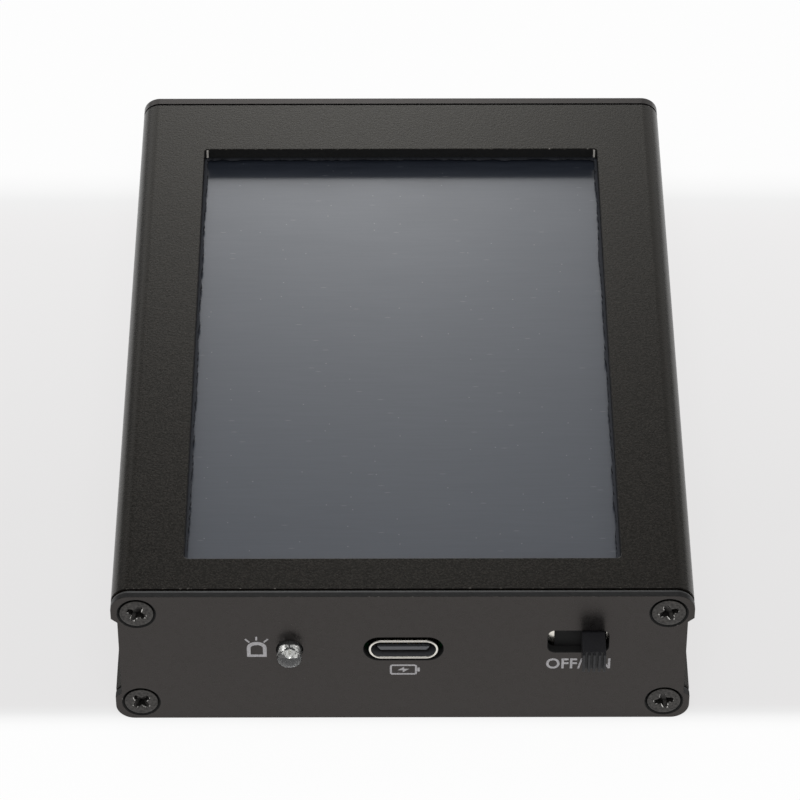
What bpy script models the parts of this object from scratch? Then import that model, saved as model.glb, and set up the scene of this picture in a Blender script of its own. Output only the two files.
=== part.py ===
"""Handheld spectrum analyzer in a split aluminium case, modelled as the pieces it comes apart into.

Lengths are in metres and +Z is up. The user holds the end at -Y, which has the charging socket,
the status lamp and the slide switch; the signal jacks are at +Y. The origin is the centre of the
bottom face. Heights are worked out from the top face down, so that the stack under the window
always fits, and the battery takes what is left above the floor.
"""

import math

import bmesh
import bpy
from mathutils import Matrix, Vector

# Clearances that many pieces share
GAP = 0.0003
FINE_GAP = 0.00015
MERGE_DISTANCE = 0.0000001
CUT_OVERRUN = 0.0010

# Case: two half extrusions and two end plates
CASE_WIDTH = 0.0744
CASE_HEIGHT = 0.0220
BODY_LENGTH = 0.1000
CORNER_RADIUS = 0.0024
FACE_WALL = 0.0015
SIDE_WALL = 0.0016
LUG_HEIGHT = 0.0046
LUG_SLOPE = 0.0007
WAIST_DEPTH = 0.0008
LIP_MARGIN = 0.0010
BOARD_RIB_THICKNESS = 0.0010
BOARD_RIB_DEPTH = 0.0015
PLATE_THICKNESS = 0.0012

# Window in the top face: rims from the case's sides and from the ends of the extrusion
SIDE_RIM = 0.0092
NEAR_RIM = 0.0056
FAR_RIM = 0.0103
WINDOW_CORNER_RADIUS = 0.0006

# Countersunk screws and the channels they cut their thread in
SCREW_SIDE_INSET = 0.0033
SCREW_FACE_INSET = 0.0030
SCREW_HEAD_RADIUS = 0.00225
SCREW_SHANK_RADIUS = 0.00125
SCREW_LENGTH = 0.0080
SCREW_TIP = 0.0004
SCREW_HEAD_CLEARANCE = 0.00025
CHANNEL_WALL = 0.0009
RECESS_ARM = 0.00125
RECESS_ARM_AT_DEPTH = 0.00055
RECESS_HALF_WIDTH = 0.00030
RECESS_DEPTH = 0.0009

# Display stack
GASKET_THICKNESS = 0.0004
GASKET_INSET = 0.0004
GASKET_OVERHANG = 0.0003
TOUCH_THICKNESS = 0.0011
LCD_THICKNESS = 0.0010
BACKLIGHT_THICKNESS = 0.0015
PANEL_SIDE_CLEARANCE = 0.0006
PANEL_NEAR_BORDER = 0.0028
TOUCH_FAR_BORDER = 0.0035
BACKLIGHT_FAR_BORDER = 0.0040
BACKLIGHT_NEAR_CLEARANCE = 0.0005
FLEX_THICKNESS = 0.0003
FLEX_WIDTH = 0.0200
FLEX_CONNECTOR_WIDTH = 0.0240
FLEX_CONNECTOR_DEPTH = 0.0037
FLEX_CONNECTOR_HEIGHT = 0.0019
FLEX_CONNECTOR_SETBACK = 0.0035
STRIP_WIDTH = 0.0050
STRIP_INSET = 0.0012
STRIP_NEAR_MARGIN = 0.0120

# Main board and what is soldered on it
BOARD_THICKNESS = 0.0016
BOARD_NEAR_MARGIN = 0.0016
SHIELD_LENGTH = 0.0260
SHIELD_HEIGHT = 0.0026
SHIELD_SHEET = 0.0004
SHIELD_LID_SKIRT = 0.0012
SHIELD_SIDE_MARGIN = 0.0045
SHIELD_FAR_MARGIN = 0.0050
CHIP_HEIGHT = 0.0009
SYNTHESIZER_SIZE = 0.0050
MIXER_SIZE = 0.0040
OSCILLATOR_WIDTH = 0.0050
OSCILLATOR_DEPTH = 0.0032
OSCILLATOR_HEIGHT = 0.0015
PROCESSOR_SIZE = 0.0140
PROCESSOR_HEIGHT = 0.0014
PROCESSOR_OFFSET = 0.0080
MEMORY_WIDTH = 0.0060
MEMORY_DEPTH = 0.0050
MEMORY_HEIGHT = 0.0017
MEMORY_OFFSET = 0.0090
CHARGER_SIZE = 0.0030
CHARGER_OFFSET = 0.0040
INDUCTOR_SIZE = 0.0040
INDUCTOR_HEIGHT = 0.0020
INDUCTOR_OFFSET = 0.0045
POWER_ROW_MARGIN = 0.0040

# Battery under the board
BATTERY_HEADROOM = 0.0006
BATTERY_SIDE_MARGIN = 0.0040
BATTERY_NEAR_MARGIN = 0.0009
BATTERY_EDGE_RADIUS = 0.0008
BATTERY_PAD_THICKNESS = 0.0007
BATTERY_PAD_INSET = 0.0080
BATTERY_PLUG_WIDTH = 0.0060
BATTERY_PLUG_DEPTH = 0.0040
BATTERY_PLUG_HEIGHT = 0.0038
BATTERY_PLUG_FAR_MARGIN = 0.0120
LEAD_RADIUS = 0.0006
LEAD_SPACING = 0.0020
LEAD_ROOM = 0.0060

# Charging socket
SOCKET_OFFSET = 0.0001
SOCKET_WIDTH = 0.00894
SOCKET_HEIGHT = 0.00326
SOCKET_LENGTH = 0.00735
SOCKET_SHEET = 0.0003
SOCKET_PROTRUSION = 0.0002
SOCKET_CUT_SIDE_CLEARANCE = 0.00065
SOCKET_CUT_FACE_CLEARANCE = 0.0004
SOCKET_BASE_LENGTH = 0.0016
SOCKET_TONGUE_WIDTH = 0.0067
SOCKET_TONGUE_THICKNESS = 0.0007
SOCKET_TONGUE_SETBACK = 0.0005

# Status lamp
LAMP_OFFSET = 0.0145
LAMP_RISE = 0.0018
LAMP_RADIUS = 0.00155
LAMP_PROTRUSION = 0.0025
LAMP_FLANGE_RADIUS = 0.0019
LAMP_FLANGE_THICKNESS = 0.0010
LAMP_HOLE_CLEARANCE = 0.0002
LAMP_LEG_RADIUS = 0.00025
LAMP_LEG_SPACING = 0.00254
LAMP_LEG_BEND = 0.0006
LAMP_LEG_SETBACK = 0.0010

# Slide switch
SWITCH_SIDE_INSET = 0.0144
SWITCH_LENGTH = 0.0116
SWITCH_HEIGHT = 0.0058
SWITCH_DEPTH = 0.0040
SWITCH_SHEET = 0.0004
SWITCH_BASE_THICKNESS = 0.0012
SWITCH_BASE_OVERHANG = 0.0004
LEVER_WIDTH = 0.0030
LEVER_HEIGHT = 0.0030
LEVER_PROTRUSION = 0.0040
LEVER_TRAVEL = 0.0032
LEVER_END_CLEARANCE = 0.00015
LEVER_RIB_COUNT = 5
LEVER_RIB_DEPTH = 0.0003
SLIDER_MARGIN = 0.0018
PLATE_SLOT_END_CLEARANCE = 0.0008
PLATE_SLOT_FACE_CLEARANCE = 0.00043
PLATE_SLOT_SHIFT = 0.0003
PLATE_SLOT_CORNER_RADIUS = 0.0010
PIN_WIDTH = 0.0008
PIN_THICKNESS = 0.0004
PIN_SPACING = 0.0030
PIN_REACH = 0.0006
SOLDER_TAIL = 0.0010

# Threaded signal jacks, their washers and nuts
JACK_SPACING = 0.0360
JACK_PROTRUSION = 0.0080
JACK_THREAD_RADIUS = 0.003175
JACK_THREAD_CHAMFER = 0.0004
JACK_MOUTH_RADIUS = 0.0023
JACK_MOUTH_DEPTH = 0.0020
JACK_FLANGE_WIDTH = 0.0090
JACK_FLANGE_HEIGHT = 0.0076
JACK_FLANGE_THICKNESS = 0.0016
JACK_LEG_SIZE = 0.0010
JACK_LEG_LENGTH = 0.0040
INSULATOR_RADIUS = 0.0020
CONTACT_RADIUS = 0.00064
CONTACT_BORE_RADIUS = 0.00045
CONTACT_BORE_DEPTH = 0.0030
CONTACT_TAIL_RADIUS = 0.0004
CONTACT_TAIL_LENGTH = 0.0030
WASHER_RADIUS = 0.0042
WASHER_THICKNESS = 0.0006
NUT_ACROSS_FLATS = 0.0080
NUT_THICKNESS = 0.0022
NUT_CHAMFER = 0.0004

# Places that follow a size, as shares of it
SHIELD_CHIP_PLACE_SHARES = (-0.5, 0.0, 0.5)

# Angles and facet counts
CHANNEL_MOUTH_MIDDLE = math.radians(135)
CHANNEL_MOUTH_HALF_ANGLE = math.radians(28)
FRONT_SCREW_TURNS = (math.radians(43), math.radians(12), math.radians(-27), math.radians(22))
REAR_SCREW_TURNS = (math.radians(35), math.radians(-8), math.radians(60), math.radians(18))
ROUND_SEGMENTS = 24
SMALL_SEGMENTS = 16
CORNER_SEGMENTS = 6
SMOOTH_ANGLE = math.radians(35)

# Heights, from the top face down
ceiling_z = CASE_HEIGHT - FACE_WALL
gasket_top_z = ceiling_z - GAP
gasket_bottom_z = gasket_top_z - GASKET_THICKNESS
touch_top_z = gasket_bottom_z - GAP
touch_bottom_z = touch_top_z - TOUCH_THICKNESS
lcd_top_z = touch_bottom_z - GAP
lcd_bottom_z = lcd_top_z - LCD_THICKNESS
backlight_top_z = lcd_bottom_z - GAP
backlight_bottom_z = backlight_top_z - BACKLIGHT_THICKNESS
switch_top_z = lcd_bottom_z - GAP
switch_bottom_z = switch_top_z - SWITCH_HEIGHT
switch_z = (switch_top_z + switch_bottom_z) / 2
board_top_z = switch_bottom_z - GAP
board_bottom_z = board_top_z - BOARD_THICKNESS
battery_top_z = board_bottom_z - BATTERY_HEADROOM
pad_bottom_z = FACE_WALL + GAP
pad_top_z = pad_bottom_z + BATTERY_PAD_THICKNESS
battery_bottom_z = pad_top_z + GAP
mounted_z = board_top_z + GAP
socket_z = mounted_z + SOCKET_HEIGHT / 2
lamp_z = board_top_z + LAMP_RISE
jack_z = mounted_z + CONTACT_TAIL_RADIUS
flex_slot_z = mounted_z + FLEX_CONNECTOR_HEIGHT / 2

# Side walls, channels and the joint between the halves
half_width = CASE_WIDTH / 2
waist_x = half_width - WAIST_DEPTH
inner_x = waist_x - SIDE_WALL
lip_thickness = (SIDE_WALL - GAP) / 2
lip_x = inner_x + lip_thickness
joint_z = CASE_HEIGHT / 2
upper_rib_top_z = mounted_z + BOARD_RIB_THICKNESS
lower_rib_bottom_z = board_bottom_z - GAP - BOARD_RIB_THICKNESS
lip_top_z = max(joint_z, upper_rib_top_z) + LIP_MARGIN
screw_x = half_width - SCREW_SIDE_INSET
channel_hole_radius = SCREW_SHANK_RADIUS + GAP
boss_radius = channel_hole_radius + CHANNEL_WALL
boss_inner_x = screw_x - boss_radius

# Ends
near_y = -BODY_LENGTH / 2
far_y = BODY_LENGTH / 2
plate_y = BODY_LENGTH / 2 + GAP
plate_face_y = plate_y + PLATE_THICKNESS

# Window and display
window_x = half_width - SIDE_RIM
window_near_y = near_y + NEAR_RIM
window_far_y = far_y - FAR_RIM
panel_x = boss_inner_x - PANEL_SIDE_CLEARANCE
panel_near_y = window_near_y - PANEL_NEAR_BORDER
touch_far_y = window_far_y + TOUCH_FAR_BORDER
lcd_z = (lcd_top_z + lcd_bottom_z) / 2
flex_bend_radius = (lcd_z - flex_slot_z) / 2
flex_start_y = plate_y - GAP - FLEX_THICKNESS - flex_bend_radius
lcd_far_y = flex_start_y - GAP
flex_connector_far_y = lcd_far_y - FLEX_CONNECTOR_SETBACK
flex_connector_near_y = flex_connector_far_y - FLEX_CONNECTOR_DEPTH
strip_outer_x = panel_x - STRIP_INSET
strip_inner_x = strip_outer_x - STRIP_WIDTH

# Switch
switch_x = half_width - SWITCH_SIDE_INSET
lever_x = switch_x + LEVER_TRAVEL / 2
switch_back_y = near_y + SWITCH_DEPTH
base_back_y = switch_back_y + SWITCH_BASE_OVERHANG
base_front_y = base_back_y - SWITCH_BASE_THICKNESS
pin_front_y = base_back_y + GAP
pin_back_y = pin_front_y + PIN_REACH
backlight_near_y = base_back_y + BACKLIGHT_NEAR_CLEARANCE

# Board
board_x = inner_x - GAP
board_near_y = near_y + BOARD_NEAR_MARGIN
jack_flange_back_y = far_y - JACK_FLANGE_THICKNESS
board_far_y = jack_flange_back_y - GAP
socket_mouth_y = -plate_face_y - SOCKET_PROTRUSION
socket_back_y = socket_mouth_y + SOCKET_LENGTH
shield_far_y = flex_connector_near_y - SHIELD_FAR_MARGIN
shield_near_y = shield_far_y - SHIELD_LENGTH
shield_x = strip_inner_x - SHIELD_SIDE_MARGIN
power_row_y = max(socket_back_y, pin_back_y) + POWER_ROW_MARGIN
processor_y = (power_row_y + INDUCTOR_SIZE / 2 + shield_near_y) / 2

# Battery
battery_x = boss_inner_x - BATTERY_SIDE_MARGIN
battery_near_y = pin_back_y + BATTERY_NEAR_MARGIN
plug_far_y = board_far_y - BATTERY_PLUG_FAR_MARGIN
plug_near_y = plug_far_y - BATTERY_PLUG_DEPTH
plug_top_z = board_bottom_z - GAP
plug_z = plug_top_z - BATTERY_PLUG_HEIGHT / 2
battery_far_y = plug_near_y - LEAD_ROOM


def clear_scene():
    for existing in list(bpy.data.objects):
        bpy.data.objects.remove(existing, do_unlink=True)


def finish_material(name, colour, roughness, metallic=0.0, alpha=1.0):
    made = bpy.data.materials.new(name)
    made.use_nodes = True
    shader = made.node_tree.nodes["Principled BSDF"]
    shader.inputs["Base Color"].default_value = (*colour, 1.0)
    shader.inputs["Roughness"].default_value = roughness
    shader.inputs["Metallic"].default_value = metallic
    shader.inputs["Alpha"].default_value = alpha
    return made


def make_materials():
    return {
        "anodised": finish_material("anodised_aluminium", (0.030, 0.028, 0.026), 0.42, 0.6),
        "black_steel": finish_material("black_oxide_steel", (0.025, 0.025, 0.026), 0.38, 0.8),
        "nickel": finish_material("nickel_plated_steel", (0.72, 0.70, 0.67), 0.24, 1.0),
        "gold": finish_material("gold_plated_brass", (0.83, 0.61, 0.26), 0.25, 1.0),
        "tin": finish_material("tinned_copper", (0.66, 0.66, 0.64), 0.35, 1.0),
        "black_plastic": finish_material("black_plastic", (0.015, 0.015, 0.017), 0.45),
        "white_plastic": finish_material("white_plastic", (0.80, 0.79, 0.74), 0.50),
        "ptfe": finish_material("ptfe", (0.86, 0.86, 0.84), 0.40),
        "clear_epoxy": finish_material("clear_epoxy", (0.85, 0.86, 0.86), 0.05, 0.0, 0.35),
        "foam": finish_material("closed_cell_foam", (0.012, 0.012, 0.012), 0.90),
        "touch_glass": finish_material("touch_glass", (0.060, 0.064, 0.075), 0.08),
        "lcd_glass": finish_material("lcd_glass", (0.030, 0.033, 0.042), 0.15),
        "steel_tray": finish_material("stamped_steel", (0.60, 0.60, 0.60), 0.35, 1.0),
        "polyimide": finish_material("polyimide_film", (0.55, 0.27, 0.05), 0.35),
        "board": finish_material("glass_epoxy_board", (0.010, 0.075, 0.035), 0.40),
        "chip": finish_material("moulded_chip_epoxy", (0.020, 0.020, 0.021), 0.55),
        "ferrite": finish_material("ferrite", (0.065, 0.063, 0.062), 0.70),
        "pouch": finish_material("aluminium_laminate_pouch", (0.55, 0.56, 0.58), 0.32, 0.7),
        "red_insulation": finish_material("red_pvc", (0.50, 0.02, 0.02), 0.40),
        "black_insulation": finish_material("black_pvc", (0.02, 0.02, 0.02), 0.40),
    }


def place_object(name, data, location, rotation=None):
    made = bpy.data.objects.new(name, data)
    made.location = location
    if rotation is not None:
        made.rotation_euler = rotation.to_euler()
    bpy.context.scene.collection.objects.link(made)
    return made


def piece(name, build, material, location=(0, 0, 0), rotation=None):
    """Make a named object from a bmesh, with its faces pointing out and round sides shaded smooth."""
    bmesh.ops.recalc_face_normals(build, faces=build.faces)
    mesh = bpy.data.meshes.new(name)
    build.to_mesh(mesh)
    build.free()
    mesh.shade_smooth()
    mesh.set_sharp_from_angle(angle=SMOOTH_ANGLE)
    mesh.materials.append(material)
    return place_object(name, mesh, location, rotation)


def as_tool(tool):
    tool.hide_render = True
    tool.display_type = "WIRE"
    return tool


def combine(target, operation, *tools):
    for tool in tools:
        step = target.modifiers.new(f"{operation.lower()}_{tool.name}", "BOOLEAN")
        step.operation = operation
        step.object = as_tool(tool)
        step.solver = "EXACT"
    return target


def settle(target):
    """Fix an object's modifiers into its mesh, so that copies can share the mesh."""
    graph = bpy.context.evaluated_depsgraph_get()
    mesh = bpy.data.meshes.new_from_object(target.evaluated_get(graph))
    target.modifiers.clear()
    target.data = mesh
    return mesh


def block(size):
    build = bmesh.new()
    bmesh.ops.create_cube(build, size=1.0, matrix=Matrix.Diagonal((*size, 1.0)))
    return build


def block_between(name, low, high, material):
    low, high = Vector(low), Vector(high)
    return piece(name, block(high - low), material, (low + high) / 2)


def arc(centre, radius, start, end, segments):
    points = []
    for step in range(segments + 1):
        angle = start + (end - start) * step / segments
        points.append((centre[0] + radius * math.cos(angle), centre[1] + radius * math.sin(angle)))
    return points


def rounded_rectangle(half_u, half_v, radius, segments=CORNER_SEGMENTS):
    """Points of an upright rectangle with round corners, counterclockwise about the origin."""
    radius = min(radius, half_u, half_v)
    points = []
    for turn, (sign_u, sign_v) in enumerate([(1, 1), (-1, 1), (-1, -1), (1, -1)]):
        centre = (sign_u * (half_u - radius), sign_v * (half_v - radius))
        start = turn * math.pi / 2
        points += arc(centre, radius, start, start + math.pi / 2, segments)
    return without_repeats(points)


def without_repeats(points):
    kept = []
    for point in points:
        if not kept or math.dist(point, kept[-1]) > MERGE_DISTANCE:
            kept.append(point)
    if math.dist(kept[0], kept[-1]) <= MERGE_DISTANCE:
        kept.pop()
    return kept


def prism(outline, length, outline_at_end=None):
    """Solid between an outline at z = 0 and the same or another outline at z = length."""
    build = bmesh.new()
    first = [build.verts.new((u, v, 0)) for u, v in outline]
    last = [build.verts.new((u, v, length)) for u, v in outline_at_end or outline]
    build.faces.new(first)
    build.faces.new(last)
    for index in range(len(first)):
        after = (index + 1) % len(first)
        build.faces.new((first[index], first[after], last[after], last[index]))
    return build


def tube(outer, inner, length):
    """Open-ended tube between two outlines with the same number of points."""
    build = bmesh.new()
    rings = []
    for outline in (outer, inner):
        for height in (0, length):
            rings.append([build.verts.new((u, v, height)) for u, v in outline])
    outer_first, outer_last, inner_first, inner_last = rings
    walls = [(outer_first, outer_last), (outer_last, inner_last)]
    walls += [(inner_last, inner_first), (inner_first, outer_first)]
    for start, end in walls:
        for index in range(len(start)):
            after = (index + 1) % len(start)
            build.faces.new((start[index], start[after], end[after], end[index]))
    return build


def turned(profile, segments=ROUND_SEGMENTS):
    """Solid turned about local Z from (radius, height) points that start and end on the axis."""
    build = bmesh.new()
    points = [build.verts.new((radius, 0, height)) for radius, height in profile]
    edges = [build.edges.new(pair) for pair in zip(points, points[1:])]
    bmesh.ops.spin(
        build,
        geom=points + edges,
        axis=(0, 0, 1),
        cent=(0, 0, 0),
        angle=2 * math.pi,
        steps=segments,
        use_merge=True,
    )
    bmesh.ops.remove_doubles(build, verts=build.verts, dist=MERGE_DISTANCE)
    return build


def wire(name, route, radius, material):
    """Round wire along a route, as a curve with filled ends."""
    curve = bpy.data.curves.new(name, "CURVE")
    curve.dimensions = "3D"
    curve.bevel_depth = radius
    curve.bevel_resolution = 2
    curve.use_fill_caps = True
    spline = curve.splines.new("POLY")
    spline.points.add(len(route) - 1)
    for point, place in zip(spline.points, route):
        point.co = (*place, 1.0)
    curve.materials.append(material)
    return place_object(name, curve, (0, 0, 0))


def facing_user(turn=0.0):
    """Rotation that points a turned piece's local Z at the user."""
    return Matrix.Rotation(math.pi / 2, 4, "X") @ Matrix.Rotation(turn, 4, "Z")


def facing_away(turn=0.0):
    return Matrix.Rotation(-math.pi / 2, 4, "X") @ Matrix.Rotation(turn, 4, "Z")


def lying_along_y():
    """Rotation that lays an outline drawn in (x, z) upright and runs its length from y = 0 to -y."""
    return Matrix.Rotation(math.pi / 2, 4, "X")


def corner_outline():
    """Outer side of one half at +X, from its flat face to the waist, as (x, depth below the face)."""
    centre = (half_width - CORNER_RADIUS, CORNER_RADIUS)
    points = arc(centre, CORNER_RADIUS, -math.pi / 2, 0, CORNER_SEGMENTS)
    points.append((half_width, LUG_HEIGHT - LUG_SLOPE))
    points.append((waist_x, LUG_HEIGHT))
    return points


def channel_outline():
    """Open screw channel in a corner, from the side wall round to the flat wall."""
    centre = (screw_x, SCREW_FACE_INSET)
    leaves_side = math.acos((inner_x - screw_x) / boss_radius)
    meets_face = math.pi + math.asin((SCREW_FACE_INSET - FACE_WALL) / boss_radius)
    mouth_start = CHANNEL_MOUTH_MIDDLE - CHANNEL_MOUTH_HALF_ANGLE
    mouth_end = CHANNEL_MOUTH_MIDDLE + CHANNEL_MOUTH_HALF_ANGLE
    points = arc(centre, boss_radius, leaves_side, mouth_start, CORNER_SEGMENTS // 2)
    points += arc(centre, channel_hole_radius, mouth_start, mouth_end - 2 * math.pi, SMALL_SEGMENTS)
    points += arc(centre, boss_radius, mouth_end, meets_face, CORNER_SEGMENTS // 2)
    return points


def mirrored(right_side):
    return right_side + [(-u, v) for u, v in reversed(right_side)]


def bottom_section():
    """Lower half: an inner lip stands above the joint, and two ribs on each side hold the board."""
    side = corner_outline()
    side += [(waist_x, joint_z - GAP / 2), (lip_x, joint_z - GAP / 2)]
    side += [(lip_x, lip_top_z), (inner_x, lip_top_z)]
    rib_x = inner_x - BOARD_RIB_DEPTH
    for rib_top, rib_bottom in [
        (upper_rib_top_z, mounted_z),
        (board_bottom_z - GAP, lower_rib_bottom_z),
    ]:
        side += [(inner_x, rib_top), (rib_x, rib_top), (rib_x, rib_bottom), (inner_x, rib_bottom)]
    return mirrored(side + channel_outline())


def top_section():
    """Upper half: an outer lip hangs below the joint, outside the lower half's lip."""
    side = [(x, CASE_HEIGHT - depth) for x, depth in corner_outline()]
    side += [(waist_x, joint_z + GAP / 2), (lip_x + GAP, joint_z + GAP / 2)]
    side += [(lip_x + GAP, lip_top_z + GAP), (inner_x, lip_top_z + GAP)]
    side += [(x, CASE_HEIGHT - depth) for x, depth in channel_outline()]
    return mirrored(side)


def plate_section():
    lower = corner_outline()
    upper = [(x, CASE_HEIGHT - depth) for x, depth in reversed(corner_outline())]
    return mirrored(lower + upper)


def make_covers(materials):
    for name, section in [("bottom_cover", bottom_section()), ("top_cover", top_section())]:
        made = piece(
            name, prism(section, BODY_LENGTH), materials["anodised"], (0, far_y, 0), lying_along_y()
        )
        if name == "top_cover":
            combine(made, "DIFFERENCE", window_tool(materials))


def window_tool(materials):
    half_length = (window_far_y - window_near_y) / 2
    outline = rounded_rectangle(window_x, half_length, WINDOW_CORNER_RADIUS)
    place = (0, (window_far_y + window_near_y) / 2, ceiling_z - CUT_OVERRUN)
    return piece(
        "window_tool", prism(outline, FACE_WALL + 2 * CUT_OVERRUN), materials["anodised"], place
    )


def screw_places():
    """Screw centres on an end plate, as (x, z): lower left, lower right, upper left, upper right."""
    heights = (SCREW_FACE_INSET, CASE_HEIGHT - SCREW_FACE_INSET)
    return [(side * screw_x, height) for height in heights for side in (-1, 1)]


def countersink_tools(side, material):
    """Screw holes of one plate; side is -1 for the user's end and 1 for the far end."""
    hole_radius = SCREW_SHANK_RADIUS + GAP
    mouth_radius = SCREW_HEAD_RADIUS + SCREW_HEAD_CLEARANCE
    through = -PLATE_THICKNESS - CUT_OVERRUN
    profile = [
        (0, CUT_OVERRUN),
        (mouth_radius + CUT_OVERRUN, CUT_OVERRUN),
        (hole_radius, hole_radius - mouth_radius),
        (hole_radius, through),
        (0, through),
    ]
    turn = facing_user() if side < 0 else facing_away()
    tools = []
    for index, (x, z) in enumerate(screw_places()):
        name = f"countersink_tool_{'front' if side < 0 else 'rear'}_{index + 1}"
        tools.append(piece(name, turned(profile), material, (x, side * plate_face_y, z), turn))
    return tools


def cut_through_plate(name, outline, x, z, material):
    """Tool that cuts an outline through the front plate at (x, z)."""
    length = PLATE_THICKNESS + 2 * CUT_OVERRUN
    return piece(
        name, prism(outline, length), material, (x, CUT_OVERRUN - plate_y, z), lying_along_y()
    )


def circle(radius, segments=ROUND_SEGMENTS):
    return arc((0, 0), radius, 0, 2 * math.pi, segments)[:-1]


def plate_slot_outline():
    half_length = (LEVER_WIDTH + LEVER_TRAVEL) / 2 + PLATE_SLOT_END_CLEARANCE
    half_height = LEVER_HEIGHT / 2 + PLATE_SLOT_FACE_CLEARANCE
    return rounded_rectangle(half_length, half_height, PLATE_SLOT_CORNER_RADIUS)


def make_front_plate(materials):
    metal = materials["anodised"]
    plate = piece(
        "front_plate", prism(plate_section(), PLATE_THICKNESS), metal, (0, -plate_y, 0), lying_along_y()
    )
    socket_u = SOCKET_WIDTH / 2 + SOCKET_CUT_SIDE_CLEARANCE
    socket_v = SOCKET_HEIGHT / 2 + SOCKET_CUT_FACE_CLEARANCE
    socket_opening = rounded_rectangle(socket_u, socket_v, socket_v)
    lamp_hole = circle(LAMP_RADIUS + LAMP_HOLE_CLEARANCE)
    combine(
        plate,
        "DIFFERENCE",
        *countersink_tools(-1, metal),
        cut_through_plate("socket_opening_tool", socket_opening, SOCKET_OFFSET, socket_z, metal),
        cut_through_plate("lamp_hole_tool", lamp_hole, -LAMP_OFFSET, lamp_z, metal),
        cut_through_plate(
            "switch_slot_tool", plate_slot_outline(), switch_x - PLATE_SLOT_SHIFT, switch_z, metal
        ),
    )


def make_rear_plate(materials):
    metal = materials["anodised"]
    plate = piece(
        "rear_plate", prism(plate_section(), PLATE_THICKNESS), metal, (0, plate_face_y, 0), lying_along_y()
    )
    combine(plate, "DIFFERENCE", *countersink_tools(1, metal))
    for side, name in [(-1, "left"), (1, "right")]:
        tool = piece(
            f"jack_hole_tool_{name}",
            prism(circle(JACK_THREAD_RADIUS + GAP), PLATE_THICKNESS + 2 * CUT_OVERRUN),
            metal,
            (side * JACK_SPACING / 2, plate_face_y + CUT_OVERRUN, jack_z),
            lying_along_y(),
        )
        combine(plate, "DIFFERENCE", tool)


def cross_outline(arm, half_width_of_arm):
    quarter = [(arm, half_width_of_arm), (half_width_of_arm, half_width_of_arm)]
    points = []
    for turn in range(4):
        spin = Matrix.Rotation(turn * math.pi / 2, 2)
        points += [tuple(spin @ Vector(point)) for point in quarter]
        points.append(tuple(spin @ Vector((half_width_of_arm, arm))))
    return points


def screw_mesh(materials):
    """Countersunk screw with a cross recess; its head is at z = 0 and its tip points down."""
    cone_end = SCREW_SHANK_RADIUS - SCREW_HEAD_RADIUS
    tip_radius = SCREW_SHANK_RADIUS - SCREW_TIP
    profile = [
        (0, 0),
        (SCREW_HEAD_RADIUS, 0),
        (SCREW_SHANK_RADIUS, cone_end),
        (SCREW_SHANK_RADIUS, SCREW_TIP - SCREW_LENGTH),
        (tip_radius, -SCREW_LENGTH),
        (0, -SCREW_LENGTH),
    ]
    model = piece("screw_model", turned(profile), materials["black_steel"])
    slope = (RECESS_ARM - RECESS_ARM_AT_DEPTH) / RECESS_DEPTH
    deep = cross_outline(RECESS_ARM_AT_DEPTH, RECESS_HALF_WIDTH)
    shallow = cross_outline(RECESS_ARM + slope * CUT_OVERRUN, RECESS_HALF_WIDTH)
    cross = prism(deep, RECESS_DEPTH + CUT_OVERRUN, shallow)
    tool = piece("recess_tool", cross, materials["black_steel"], (0, 0, -RECESS_DEPTH))
    mesh = settle(combine(model, "DIFFERENCE", tool))
    bpy.data.objects.remove(model)
    return mesh


def make_screws(materials):
    mesh = screw_mesh(materials)
    corners = ("lower_left", "lower_right", "upper_left", "upper_right")
    ends = [
        ("front", -plate_face_y, facing_user, FRONT_SCREW_TURNS),
        ("rear", plate_face_y, facing_away, REAR_SCREW_TURNS),
    ]
    for end, y, facing, turns in ends:
        for corner, (x, z), turn in zip(corners, screw_places(), turns):
            place_object(f"{end}_screw_{corner}", mesh, (x, y, z), facing(turn))


def make_window_gasket(materials):
    """Foam frame between the top cover and the touch panel; its inner edge shows in the window."""
    middle_y = (window_near_y + window_far_y) / 2
    half_length = (window_far_y - window_near_y) / 2
    inner_u = window_x - GASKET_OVERHANG
    inner_v = half_length - GASKET_OVERHANG
    outer_u = panel_x - GASKET_INSET
    outer_v = half_length + min(PANEL_NEAR_BORDER, TOUCH_FAR_BORDER) - GASKET_INSET
    outer = rounded_rectangle(outer_u, outer_v, WINDOW_CORNER_RADIUS)
    inner = rounded_rectangle(inner_u, inner_v, WINDOW_CORNER_RADIUS)
    place = (0, middle_y, gasket_bottom_z)
    piece("window_gasket", tube(outer, inner, GASKET_THICKNESS), materials["foam"], place)


def make_display(materials):
    layers = [
        ("touch_panel", panel_near_y, touch_far_y, touch_bottom_z, touch_top_z, "touch_glass"),
        ("lcd_panel", panel_near_y, lcd_far_y, lcd_bottom_z, lcd_top_z, "lcd_glass"),
        (
            "backlight_tray",
            backlight_near_y,
            window_far_y + BACKLIGHT_FAR_BORDER,
            backlight_bottom_z,
            backlight_top_z,
            "steel_tray",
        ),
    ]
    for name, near, far, bottom, top, finish in layers:
        block_between(name, (-panel_x, near, bottom), (panel_x, far, top), materials[finish])


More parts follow.
